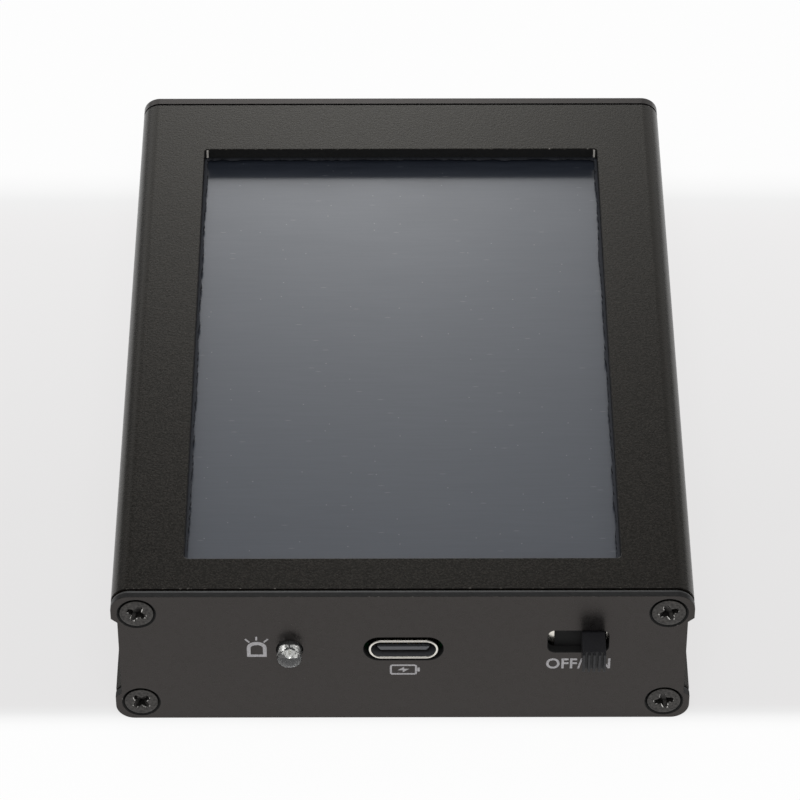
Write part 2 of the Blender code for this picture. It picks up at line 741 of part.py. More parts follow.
def make_display_flex(materials):
    """Film that leaves the panel's far edge, turns down through half a circle and runs back."""
    bend_z = (lcd_z + flex_slot_z) / 2
    plug_y = flex_connector_far_y + GAP
    half = FLEX_THICKNESS / 2
    steps = 2 * CORNER_SEGMENTS
    start, end = math.pi / 2, -math.pi / 2
    outer = arc((flex_start_y, bend_z), flex_bend_radius + half, start, end, steps)
    inner = arc((flex_start_y, bend_z), flex_bend_radius - half, end, start, steps)
    outline = outer + [(plug_y, flex_slot_z - half), (plug_y, flex_slot_z + half)] + inner
    film = prism(outline, FLEX_WIDTH)
    across = Matrix.Rotation(math.pi / 2, 4, "Z") @ Matrix.Rotation(math.pi / 2, 4, "X")
    piece("display_flex", film, materials["polyimide"], (-FLEX_WIDTH / 2, 0, 0), across)
    block_between(
        "display_connector",
        (-FLEX_CONNECTOR_WIDTH / 2, flex_connector_near_y, mounted_z),
        (FLEX_CONNECTOR_WIDTH / 2, flex_connector_far_y, mounted_z + FLEX_CONNECTOR_HEIGHT),
        materials["white_plastic"],
    )


def make_display_strips(materials):
    """Foam strips that carry the display on the main board."""
    for side, name in [(-1, "left"), (1, "right")]:
        ends = sorted((side * strip_inner_x, side * strip_outer_x))
        block_between(
            f"display_strip_{name}",
            (ends[0], near_y + STRIP_NEAR_MARGIN, mounted_z),
            (ends[1], flex_connector_near_y, backlight_bottom_z - GAP),
            materials["foam"],
        )


def leg_places():
    return [-LAMP_OFFSET - LAMP_LEG_SPACING / 2, -LAMP_OFFSET + LAMP_LEG_SPACING / 2]


def leg_y():
    return board_near_y + LAMP_LEG_SETBACK


def pin_places():
    return [switch_x + step * PIN_SPACING for step in (-1, 0, 1)]


def make_main_board(materials):
    board = block_between(
        "main_board",
        (-board_x, board_near_y, board_bottom_z),
        (board_x, board_far_y, board_top_z),
        materials["board"],
    )
    length = BOARD_THICKNESS + 2 * CUT_OVERRUN
    bottom = board_bottom_z - CUT_OVERRUN
    for index, x in enumerate(leg_places()):
        hole = prism(circle(LAMP_LEG_RADIUS + GAP, SMALL_SEGMENTS), length)
        tool = piece(f"leg_hole_tool_{index + 1}", hole, materials["board"], (x, leg_y(), bottom))
        combine(board, "DIFFERENCE", tool)
    for index, x in enumerate(pin_places()):
        half_u = PIN_WIDTH / 2 + GAP
        half_v = PIN_THICKNESS / 2 + GAP
        hole = prism(rounded_rectangle(half_u, half_v, GAP, CORNER_SEGMENTS // 2), length)
        place = (x, pin_back_y - PIN_THICKNESS / 2, bottom)
        combine(board, "DIFFERENCE", piece(f"pin_hole_tool_{index + 1}", hole, materials["board"], place))


def on_board(name, x, y, width, depth, height, material):
    low = (x - width / 2, y - depth / 2, mounted_z)
    high = (x + width / 2, y + depth / 2, mounted_z + height)
    return block_between(name, low, high, material)


def make_shield(materials):
    """Soldered fence round the radio stage, with a lid that slips over it."""
    middle_y = (shield_near_y + shield_far_y) / 2
    half_length = SHIELD_LENGTH / 2
    lid_wall = SHIELD_SHEET + GAP
    fence_u, fence_v = shield_x - lid_wall, half_length - lid_wall
    outer = rounded_rectangle(fence_u, fence_v, SHIELD_SHEET, 1)
    inner = rounded_rectangle(fence_u - SHIELD_SHEET, fence_v - SHIELD_SHEET, SHIELD_SHEET, 1)
    place = (0, middle_y, mounted_z)
    piece("shield_fence", tube(outer, inner, SHIELD_HEIGHT), materials["nickel"], place)
    fence_top_z = mounted_z + SHIELD_HEIGHT
    skirt_z = fence_top_z - SHIELD_LID_SKIRT
    lid_outline = rounded_rectangle(shield_x, half_length, SHIELD_SHEET, 1)
    lid_height = SHIELD_LID_SKIRT + GAP + SHIELD_SHEET
    lid = piece("shield_lid", prism(lid_outline, lid_height), materials["nickel"], (0, middle_y, skirt_z))
    hollow = rounded_rectangle(shield_x - SHIELD_SHEET, half_length - SHIELD_SHEET, SHIELD_SHEET, 1)
    hollow_height = CUT_OVERRUN + SHIELD_LID_SKIRT + GAP
    tool = piece(
        "lid_hollow_tool",
        prism(hollow, hollow_height),
        materials["nickel"],
        (0, middle_y, skirt_z - CUT_OVERRUN),
    )
    combine(lid, "DIFFERENCE", tool)


def make_chips(materials):
    shield_y = (shield_near_y + shield_far_y) / 2
    mixer_x, synthesizer_x, oscillator_x = [share * shield_x for share in SHIELD_CHIP_PLACE_SHARES]
    chip, metal, ferrite = materials["chip"], materials["nickel"], materials["ferrite"]
    rows = [
        ("mixer_chip", mixer_x, shield_y, MIXER_SIZE, MIXER_SIZE, CHIP_HEIGHT, chip),
        (
            "synthesizer_chip",
            synthesizer_x,
            shield_y,
            SYNTHESIZER_SIZE,
            SYNTHESIZER_SIZE,
            CHIP_HEIGHT,
            chip,
        ),
        (
            "reference_oscillator",
            oscillator_x,
            shield_y,
            OSCILLATOR_WIDTH,
            OSCILLATOR_DEPTH,
            OSCILLATOR_HEIGHT,
            metal,
        ),
        (
            "processor_chip",
            -PROCESSOR_OFFSET,
            processor_y,
            PROCESSOR_SIZE,
            PROCESSOR_SIZE,
            PROCESSOR_HEIGHT,
            chip,
        ),
        ("memory_chip", MEMORY_OFFSET, processor_y, MEMORY_WIDTH, MEMORY_DEPTH, MEMORY_HEIGHT, chip),
        ("charger_chip", -CHARGER_OFFSET, power_row_y, CHARGER_SIZE, CHARGER_SIZE, CHIP_HEIGHT, chip),
        (
            "power_inductor",
            INDUCTOR_OFFSET,
            power_row_y,
            INDUCTOR_SIZE,
            INDUCTOR_SIZE,
            INDUCTOR_HEIGHT,
            ferrite,
        ),
    ]
    for row in rows:
        on_board(*row)


def make_battery(materials):
    pouch = block_between(
        "battery",
        (-battery_x, battery_near_y, battery_bottom_z),
        (battery_x, battery_far_y, battery_top_z),
        materials["pouch"],
    )
    rounding = pouch.modifiers.new("pouch_edges", "BEVEL")
    rounding.width = BATTERY_EDGE_RADIUS
    rounding.segments = 3
    block_between(
        "battery_pad",
        (BATTERY_PAD_INSET - battery_x, battery_near_y + BATTERY_PAD_INSET, pad_bottom_z),
        (battery_x - BATTERY_PAD_INSET, battery_far_y - BATTERY_PAD_INSET, pad_top_z),
        materials["foam"],
    )
    block_between(
        "battery_plug",
        (-BATTERY_PLUG_WIDTH / 2, plug_near_y, plug_top_z - BATTERY_PLUG_HEIGHT),
        (BATTERY_PLUG_WIDTH / 2, plug_far_y, plug_top_z),
        materials["white_plastic"],
    )
    battery_z = (battery_top_z + battery_bottom_z) / 2
    start_y, end_y = battery_far_y + GAP, plug_near_y - GAP
    for side, name, finish in [(-1, "red", "red_insulation"), (1, "black", "black_insulation")]:
        route = []
        for step in range(2 * CORNER_SEGMENTS + 1):
            along = step / (2 * CORNER_SEGMENTS)
            rise = (1 - math.cos(math.pi * along)) / 2
            y = start_y + (end_y - start_y) * along
            route.append((side * LEAD_SPACING / 2, y, battery_z + (plug_z - battery_z) * rise))
        wire(f"battery_lead_{name}", route, LEAD_RADIUS, materials[finish])


def make_charging_socket(materials):
    plastic = materials["black_plastic"]
    half_u, half_v = SOCKET_WIDTH / 2, SOCKET_HEIGHT / 2
    outer = rounded_rectangle(half_u, half_v, half_v)
    inner_v = half_v - SOCKET_SHEET
    inner = rounded_rectangle(half_u - SOCKET_SHEET, inner_v, inner_v)
    piece(
        "socket_shell",
        tube(outer, inner, SOCKET_LENGTH),
        materials["nickel"],
        (SOCKET_OFFSET, socket_back_y, socket_z),
        lying_along_y(),
    )
    core_u, core_v = half_u - SOCKET_SHEET - FINE_GAP, inner_v - FINE_GAP
    core = prism(rounded_rectangle(core_u, core_v, core_v), SOCKET_BASE_LENGTH)
    place = (SOCKET_OFFSET, socket_back_y, socket_z)
    base = piece("socket_tongue", core, plastic, place, lying_along_y())
    tongue_u, tongue_v = SOCKET_TONGUE_WIDTH / 2, SOCKET_TONGUE_THICKNESS / 2
    tongue_near_y = socket_mouth_y + SOCKET_TONGUE_SETBACK
    tongue_far_y = socket_back_y - SOCKET_BASE_LENGTH / 2
    tongue = block_between(
        "tongue_tool",
        (SOCKET_OFFSET - tongue_u, tongue_near_y, socket_z - tongue_v),
        (SOCKET_OFFSET + tongue_u, tongue_far_y, socket_z + tongue_v),
        plastic,
    )
    combine(base, "UNION", tongue)


def make_lamp(materials):
    """Clear lamp with a domed end that looks out through the plate, and its two legs."""
    flange_front_y = GAP - plate_y
    flange_back_y = flange_front_y + LAMP_FLANGE_THICKNESS
    tip = plate_face_y + LAMP_PROTRUSION + flange_front_y
    dome = arc((0, tip - LAMP_RADIUS), LAMP_RADIUS, 0, math.pi / 2, CORNER_SEGMENTS)
    profile = [
        (0, -LAMP_FLANGE_THICKNESS),
        (LAMP_FLANGE_RADIUS, -LAMP_FLANGE_THICKNESS),
        (LAMP_FLANGE_RADIUS, 0),
        (LAMP_RADIUS, 0),
        *dome[:-1],
        (0, tip),
    ]
    place = (-LAMP_OFFSET, flange_front_y, lamp_z)
    piece("status_lamp", turned(profile), materials["clear_epoxy"], place, facing_user())
    for name, x in zip(("left", "right"), leg_places()):
        centre = (leg_y() - LAMP_LEG_BEND, lamp_z - LAMP_LEG_BEND)
        bend = arc(centre, LAMP_LEG_BEND, math.pi / 2, 0, CORNER_SEGMENTS)
        side_view = [(flange_back_y + GAP, lamp_z), *bend, (leg_y(), board_bottom_z - SOLDER_TAIL)]
        route = [(x, y, z) for y, z in side_view]
        wire(f"lamp_leg_{name}", route, LAMP_LEG_RADIUS, materials["tin"])


def make_switch_housing(materials):
    """Stamped frame, open at the back, with a slot for the lever; the base closes it."""
    half_length, half_height = SWITCH_LENGTH / 2, SWITCH_HEIGHT / 2
    metal = materials["nickel"]
    frame = block_between(
        "switch_frame",
        (switch_x - half_length, near_y, switch_z - half_height),
        (switch_x + half_length, switch_back_y, switch_z + half_height),
        metal,
    )
    hollow_u, hollow_v = half_length - SWITCH_SHEET, half_height - SWITCH_SHEET
    hollow = block_between(
        "switch_hollow_tool",
        (switch_x - hollow_u, near_y + SWITCH_SHEET, switch_z - hollow_v),
        (switch_x + hollow_u, switch_back_y + CUT_OVERRUN, switch_z + hollow_v),
        metal,
    )
    slot_u = (LEVER_WIDTH + LEVER_TRAVEL) / 2 + LEVER_END_CLEARANCE
    slot_v = LEVER_HEIGHT / 2 + GAP
    slot = block_between(
        "frame_slot_tool",
        (switch_x - slot_u, near_y - CUT_OVERRUN, switch_z - slot_v),
        (switch_x + slot_u, near_y + SWITCH_SHEET + CUT_OVERRUN, switch_z + slot_v),
        metal,
    )
    combine(frame, "DIFFERENCE", hollow, slot)
    block_between(
        "switch_base",
        (switch_x - hollow_u + GAP, base_front_y, switch_z - hollow_v + GAP),
        (switch_x + hollow_u - GAP, base_back_y, switch_z + hollow_v - GAP),
        materials["black_plastic"],
    )


def make_switch_pins(materials):
    """Flat pins that leave the base, turn down and pass through the board."""
    tail_z = board_bottom_z - SOLDER_TAIL
    half = PIN_THICKNESS / 2
    outline = [
        (pin_front_y, switch_z + half),
        (pin_back_y, switch_z + half),
        (pin_back_y, tail_z),
        (pin_back_y - PIN_THICKNESS, tail_z),
        (pin_back_y - PIN_THICKNESS, switch_z - half),
        (pin_front_y, switch_z - half),
    ]
    across = Matrix.Rotation(math.pi / 2, 4, "Z") @ Matrix.Rotation(math.pi / 2, 4, "X")
    for index, x in enumerate(pin_places()):
        place = (x - PIN_WIDTH / 2, 0, 0)
        piece(f"switch_pin_{index + 1}", prism(outline, PIN_WIDTH), materials["tin"], place, across)


def lever_outline():
    """Lever and slider seen from above, as (x, y) about the lever's middle: the tip has upright ribs."""
    half = LEVER_WIDTH / 2
    tip_y = -plate_face_y - LEVER_PROTRUSION
    slider_front_y = near_y + SWITCH_SHEET + GAP
    slider_back_y = base_front_y - GAP
    slider_half = half + SLIDER_MARGIN
    ribs = 2 * LEVER_RIB_COUNT - 1
    points = [(-slider_half, slider_back_y), (-slider_half, slider_front_y), (-half, slider_front_y)]
    for index in range(ribs):
        y = tip_y if index % 2 == 0 else tip_y + LEVER_RIB_DEPTH
        left = -half + LEVER_WIDTH * index / ribs
        points += [(left, y), (left + LEVER_WIDTH / ribs, y)]
    points += [(half, slider_front_y), (slider_half, slider_front_y), (slider_half, slider_back_y)]
    return points


def make_switch_lever(materials):
    """Lever at its right-hand stop; it slides to the left along X by LEVER_TRAVEL."""
    place = (lever_x, 0, switch_z - LEVER_HEIGHT / 2)
    lever = prism(lever_outline(), LEVER_HEIGHT)
    piece("switch_lever", lever, materials["black_plastic"], place)


def jack_mesh(materials):
    """Jack body about its axis: local Z points out of the case and z = 0 is the flange's front."""
    metal = materials["gold"]
    tip = plate_face_y - far_y + JACK_PROTRUSION
    root = -JACK_FLANGE_THICKNESS / 2
    profile = [
        (0, root),
        (JACK_THREAD_RADIUS, root),
        (JACK_THREAD_RADIUS, tip - JACK_THREAD_CHAMFER),
        (JACK_THREAD_RADIUS - JACK_THREAD_CHAMFER, tip),
        (0, tip),
    ]
    body = piece("jack_model", turned(profile), metal)
    half_u, half_v = JACK_FLANGE_WIDTH / 2, JACK_FLANGE_HEIGHT / 2
    flange = block_between(
        "flange_tool", (-half_u, -half_v, -JACK_FLANGE_THICKNESS), (half_u, half_v, 0), metal
    )
    tools = [flange]
    upper_v = mounted_z - jack_z
    lower_v = board_bottom_z - GAP - jack_z
    for side in (-1, 1):
        u = side * (half_u - JACK_LEG_SIZE / 2)
        for level, v in [("upper", upper_v + JACK_LEG_SIZE / 2), ("lower", lower_v - JACK_LEG_SIZE / 2)]:
            low = (u - JACK_LEG_SIZE / 2, -v - JACK_LEG_SIZE / 2, -JACK_FLANGE_THICKNESS - JACK_LEG_LENGTH)
            high = (u + JACK_LEG_SIZE / 2, -v + JACK_LEG_SIZE / 2, -JACK_FLANGE_THICKNESS / 2)
            tools.append(block_between(f"leg_tool_{level}_{side}", low, high, metal))
    combine(body, "UNION", *tools)
    bore_radius = INSULATOR_RADIUS + FINE_GAP
    mouth_floor = tip - JACK_MOUTH_DEPTH
    back = -JACK_FLANGE_THICKNESS - CUT_OVERRUN
    bore = [
        (0, back),
        (bore_radius, back),
        (bore_radius, mouth_floor),
        (JACK_MOUTH_RADIUS, mouth_floor),
        (JACK_MOUTH_RADIUS, tip + CUT_OVERRUN),
        (0, tip + CUT_OVERRUN),
    ]
    combine(body, "DIFFERENCE", piece("jack_bore_tool", turned(bore), metal))
    mesh = settle(body)
    bpy.data.objects.remove(body)
    return mesh


def contact_profile():
    """Spring socket in front, thin solder tail over the board behind."""
    front = plate_face_y - far_y + JACK_PROTRUSION - JACK_MOUTH_DEPTH
    back = -JACK_FLANGE_THICKNESS
    return [
        (0, back - CONTACT_TAIL_LENGTH),
        (CONTACT_TAIL_RADIUS, back - CONTACT_TAIL_LENGTH),
        (CONTACT_TAIL_RADIUS, back),
        (CONTACT_RADIUS, back),
        (CONTACT_RADIUS, front),
        (CONTACT_BORE_RADIUS, front),
        (CONTACT_BORE_RADIUS, front - CONTACT_BORE_DEPTH),
        (0, front - CONTACT_BORE_DEPTH),
    ]


def nut_mesh(materials):
    """Hexagon nut with its corners chamfered on both faces; z = 0 is the face at the washer."""
    flat = NUT_ACROSS_FLATS / 2
    corner = flat / math.cos(math.pi / 6)
    nut = piece("nut_model", prism(circle(corner, 6), NUT_THICKNESS), materials["gold"])
    widest = corner + FINE_GAP
    mouth = flat - (widest - flat) * CUT_OVERRUN / NUT_CHAMFER
    chamfered = [
        (0, -CUT_OVERRUN),
        (mouth, -CUT_OVERRUN),
        (widest, NUT_CHAMFER),
        (widest, NUT_THICKNESS - NUT_CHAMFER),
        (mouth, NUT_THICKNESS + CUT_OVERRUN),
        (0, NUT_THICKNESS + CUT_OVERRUN),
    ]
    combine(nut, "INTERSECT", piece("nut_chamfer_tool", turned(chamfered), materials["gold"]))
    bore = prism(circle(JACK_THREAD_RADIUS + FINE_GAP), NUT_THICKNESS + 2 * CUT_OVERRUN)
    tool = piece("nut_bore_tool", bore, materials["gold"], (0, 0, -CUT_OVERRUN))
    mesh = settle(combine(nut, "DIFFERENCE", tool))
    bpy.data.objects.remove(nut)
    return mesh


def make_jacks(materials):
    body, nut = jack_mesh(materials), nut_mesh(materials)
    thread_hole = circle(JACK_THREAD_RADIUS + FINE_GAP)
    washer_y = plate_face_y + FINE_GAP
    nut_y = washer_y + WASHER_THICKNESS + FINE_GAP
    insulator_length = plate_face_y - far_y + JACK_PROTRUSION - JACK_MOUTH_DEPTH + JACK_FLANGE_THICKNESS
    for side, name in [(-1, "left"), (1, "right")]:
        x = side * JACK_SPACING / 2
        axis = (x, far_y, jack_z)
        place_object(f"jack_body_{name}", body, axis, facing_away())
        sleeve = tube(circle(INSULATOR_RADIUS), circle(CONTACT_RADIUS + FINE_GAP), insulator_length)
        back = (x, jack_flange_back_y, jack_z)
        piece(f"jack_insulator_{name}", sleeve, materials["ptfe"], back, facing_away())
        contact = turned(contact_profile(), SMALL_SEGMENTS)
        piece(f"jack_contact_{name}", contact, materials["gold"], axis, facing_away())
        ring = tube(circle(WASHER_RADIUS), thread_hole, WASHER_THICKNESS)
        piece(f"jack_washer_{name}", ring, materials["gold"], (x, washer_y, jack_z), facing_away())
        place_object(f"jack_nut_{name}", nut, (x, nut_y, jack_z), facing_away())


def main():
    clear_scene()
    materials = make_materials()
    make_covers(materials)
    make_front_plate(materials)
    make_rear_plate(materials)
    make_screws(materials)
    make_window_gasket(materials)
    make_display(materials)
    make_display_flex(materials)
    make_display_strips(materials)
    make_main_board(materials)
    make_shield(materials)
    make_chips(materials)
    make_battery(materials)
    make_charging_socket(materials)
    make_lamp(materials)
    make_switch_housing(materials)
    make_switch_pins(materials)
    make_switch_lever(materials)
    make_jacks(materials)


main()
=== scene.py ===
import math
import random

import bmesh
import bpy
from mathutils import Matrix, Vector


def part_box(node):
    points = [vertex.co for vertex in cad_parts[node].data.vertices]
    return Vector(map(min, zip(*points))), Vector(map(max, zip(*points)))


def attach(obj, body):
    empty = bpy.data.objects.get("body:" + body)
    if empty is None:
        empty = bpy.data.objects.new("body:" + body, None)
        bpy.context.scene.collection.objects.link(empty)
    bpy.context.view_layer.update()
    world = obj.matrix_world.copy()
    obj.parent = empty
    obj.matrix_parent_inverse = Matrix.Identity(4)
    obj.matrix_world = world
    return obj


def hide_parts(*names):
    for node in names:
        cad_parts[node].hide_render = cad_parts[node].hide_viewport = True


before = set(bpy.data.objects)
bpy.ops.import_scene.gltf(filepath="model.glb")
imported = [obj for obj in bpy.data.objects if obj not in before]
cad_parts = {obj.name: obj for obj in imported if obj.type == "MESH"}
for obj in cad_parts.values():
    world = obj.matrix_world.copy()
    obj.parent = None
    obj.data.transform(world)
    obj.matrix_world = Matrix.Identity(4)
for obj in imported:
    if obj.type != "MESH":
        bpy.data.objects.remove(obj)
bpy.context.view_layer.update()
MM = 0.001


def centre(node):
    """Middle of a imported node's box."""
    low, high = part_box(node)
    return [(first + last) / 2 for first, last in zip(low, high)]


def half_size(node):
    low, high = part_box(node)
    return [(last - first) / 2 for first, last in zip(low, high)]


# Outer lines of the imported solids, which every piece here is fitted to
cover_low, cover_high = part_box("top_cover")
half_width, far_y, top_z = cover_high
near_y, joint_gap_top = cover_low[1], cover_low[2]
plate_front_y, plate_back_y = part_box("front_plate")[0][1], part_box("front_plate")[1][1]
rear_front_y, rear_back_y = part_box("rear_plate")[0][1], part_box("rear_plate")[1][1]
lip_top_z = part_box("bottom_cover")[1][2]

# Case section, as the solids have it
GAP = 0.30 * MM
FINE_GAP = 0.15 * MM
CORNER_RADIUS = 2.4 * MM
FACE_WALL = 1.5 * MM
SIDE_WALL = 1.6 * MM
LUG_HEIGHT = 4.6 * MM
LUG_SLOPE = 0.7 * MM
WAIST_DEPTH = 0.8 * MM
BOARD_RIB_THICKNESS = 1.0 * MM
BOARD_RIB_DEPTH = 1.5 * MM
SCREW_SIDE_INSET = 3.3 * MM
SCREW_FACE_INSET = 3.0 * MM
SCREW_SHANK_RADIUS = 1.25 * MM
CHANNEL_WALL = 0.9 * MM
CHANNEL_MOUTH_MIDDLE = math.radians(135)
CHANNEL_MOUTH_HALF_ANGLE = math.radians(28)

# Window
SIDE_RIM = 9.2 * MM
NEAR_RIM = 5.6 * MM
FAR_RIM = 10.3 * MM
WINDOW_CORNER_RADIUS = 0.6 * MM

waist_x = half_width - WAIST_DEPTH
inner_x = waist_x - SIDE_WALL
lip_x = inner_x + (SIDE_WALL - GAP) / 2
joint_z = top_z / 2
screw_x = half_width - SCREW_SIDE_INSET
channel_hole_radius = SCREW_SHANK_RADIUS + GAP
boss_radius = channel_hole_radius + CHANNEL_WALL
board_bottom_z, board_top_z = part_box("main_board")[0][2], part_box("main_board")[1][2]
mounted_z = board_top_z + GAP
upper_rib_top_z = mounted_z + BOARD_RIB_THICKNESS
lower_rib_bottom_z = board_bottom_z - GAP - BOARD_RIB_THICKNESS
window_x = half_width - SIDE_RIM
window_near_y = near_y + NEAR_RIM
window_far_y = far_y - FAR_RIM
window_y = (window_near_y + window_far_y) / 2
window_half_y = (window_far_y - window_near_y) / 2

# Facets and edges of the detailed pieces
CORNER_STEPS = 10
ROUND_STEPS = 64
SMALL_STEPS = 32
SMOOTH_ANGLE = math.radians(35)
CUT_OVERRUN = 1.0 * MM
BROKEN_EDGE = 0.12 * MM
STAMPED_EDGE = 0.08 * MM
MOULDED_EDGE = 0.10 * MM
NO_LENGTH = 1e-7
SAME_POINT = 1e-8


def srgb(code, alpha=1.0):
    """Linear colour of an sRGB hex value."""
    channels = []
    for start in (0, 2, 4):
        value = int(code[start:start + 2], 16) / 255
        channels.append(value / 12.92 if value <= 0.04045 else ((value + 0.055) / 1.055) ** 2.4)
    return (*channels, alpha)


def add_node(tree, kind, settings=None, joins=None):
    """Add a shader node, set its properties and sockets, and link outputs into its sockets."""
    made = tree.nodes.new(kind)
    for key, value in (settings or {}).items():
        if key == "stops":
            ramp = made.color_ramp
            ramp.elements.remove(ramp.elements[-1])
            for index, (place, colour) in enumerate(value):
                element = ramp.elements[0] if index == 0 else ramp.elements.new(place)
                element.position = place
                element.color = colour
        elif isinstance(key, str) and hasattr(made, key):
            setattr(made, key, value)
        else:
            made.inputs[key].default_value = value
    for socket, source in (joins or {}).items():
        tree.links.new(source, made.inputs[socket])
    return made


# Materials


def start_material(name, colour, roughness, settings=None):
    """New material with its Principled shader's own sockets set."""
    material = bpy.data.materials.new(name)
    material.use_nodes = True
    shader = material.node_tree.nodes["Principled BSDF"]
    for socket, value in {"Base Color": srgb(colour), "Roughness": roughness, **(settings or {})}.items():
        shader.inputs[socket].default_value = value
    return material, material.node_tree, shader


def pattern(tree, size, kind="ShaderNodeTexNoise", settings=None, stretch=(1, 1, 1)):
    """Texture in the piece's own space, with features about size metres across."""
    space = add_node(tree, "ShaderNodeTexCoord")
    laid = add_node(tree, "ShaderNodeMapping", {"Scale": stretch}, {"Vector": space.outputs["Object"]})
    return add_node(tree, kind, {"Scale": 1 / size, **(settings or {})}, {"Vector": laid.outputs["Vector"]})


def surfaced(
    name, colours, roughness, grain, depth, settings=None, kind="ShaderNodeTexNoise", output="Fac",
    texture=None, stretch=(1, 1, 1), spread=(0.35, 0.65)
):
    """Material whose colour, gloss and height follow one pattern: grain and depth are real metres."""
    material, tree, shader = start_material(name, colours[0], roughness[0], settings)
    shade = pattern(tree, grain, kind, {"Detail": 2.0, **(texture or {})}, stretch).outputs[output]
    step = (spread[1] - spread[0]) / max(1, len(colours) - 1)
    stops = [(spread[0] + step * index, srgb(colour)) for index, colour in enumerate(colours)]
    limits = {"From Min": spread[0], "From Max": spread[1], "To Min": roughness[0], "To Max": roughness[1]}
    tone = add_node(tree, "ShaderNodeValToRGB", {"stops": stops}, {"Fac": shade})
    gloss = add_node(tree, "ShaderNodeMapRange", limits, {"Value": shade})
    relief = add_node(tree, "ShaderNodeBump", {"Strength": 1.0, "Distance": depth}, {"Height": shade})
    tree.links.new(tone.outputs["Color"], shader.inputs["Base Color"])
    tree.links.new(gloss.outputs["Result"], shader.inputs["Roughness"])
    tree.links.new(relief.outputs["Normal"], shader.inputs["Normal"])
    return material


METAL = {"Metallic": 1.0}

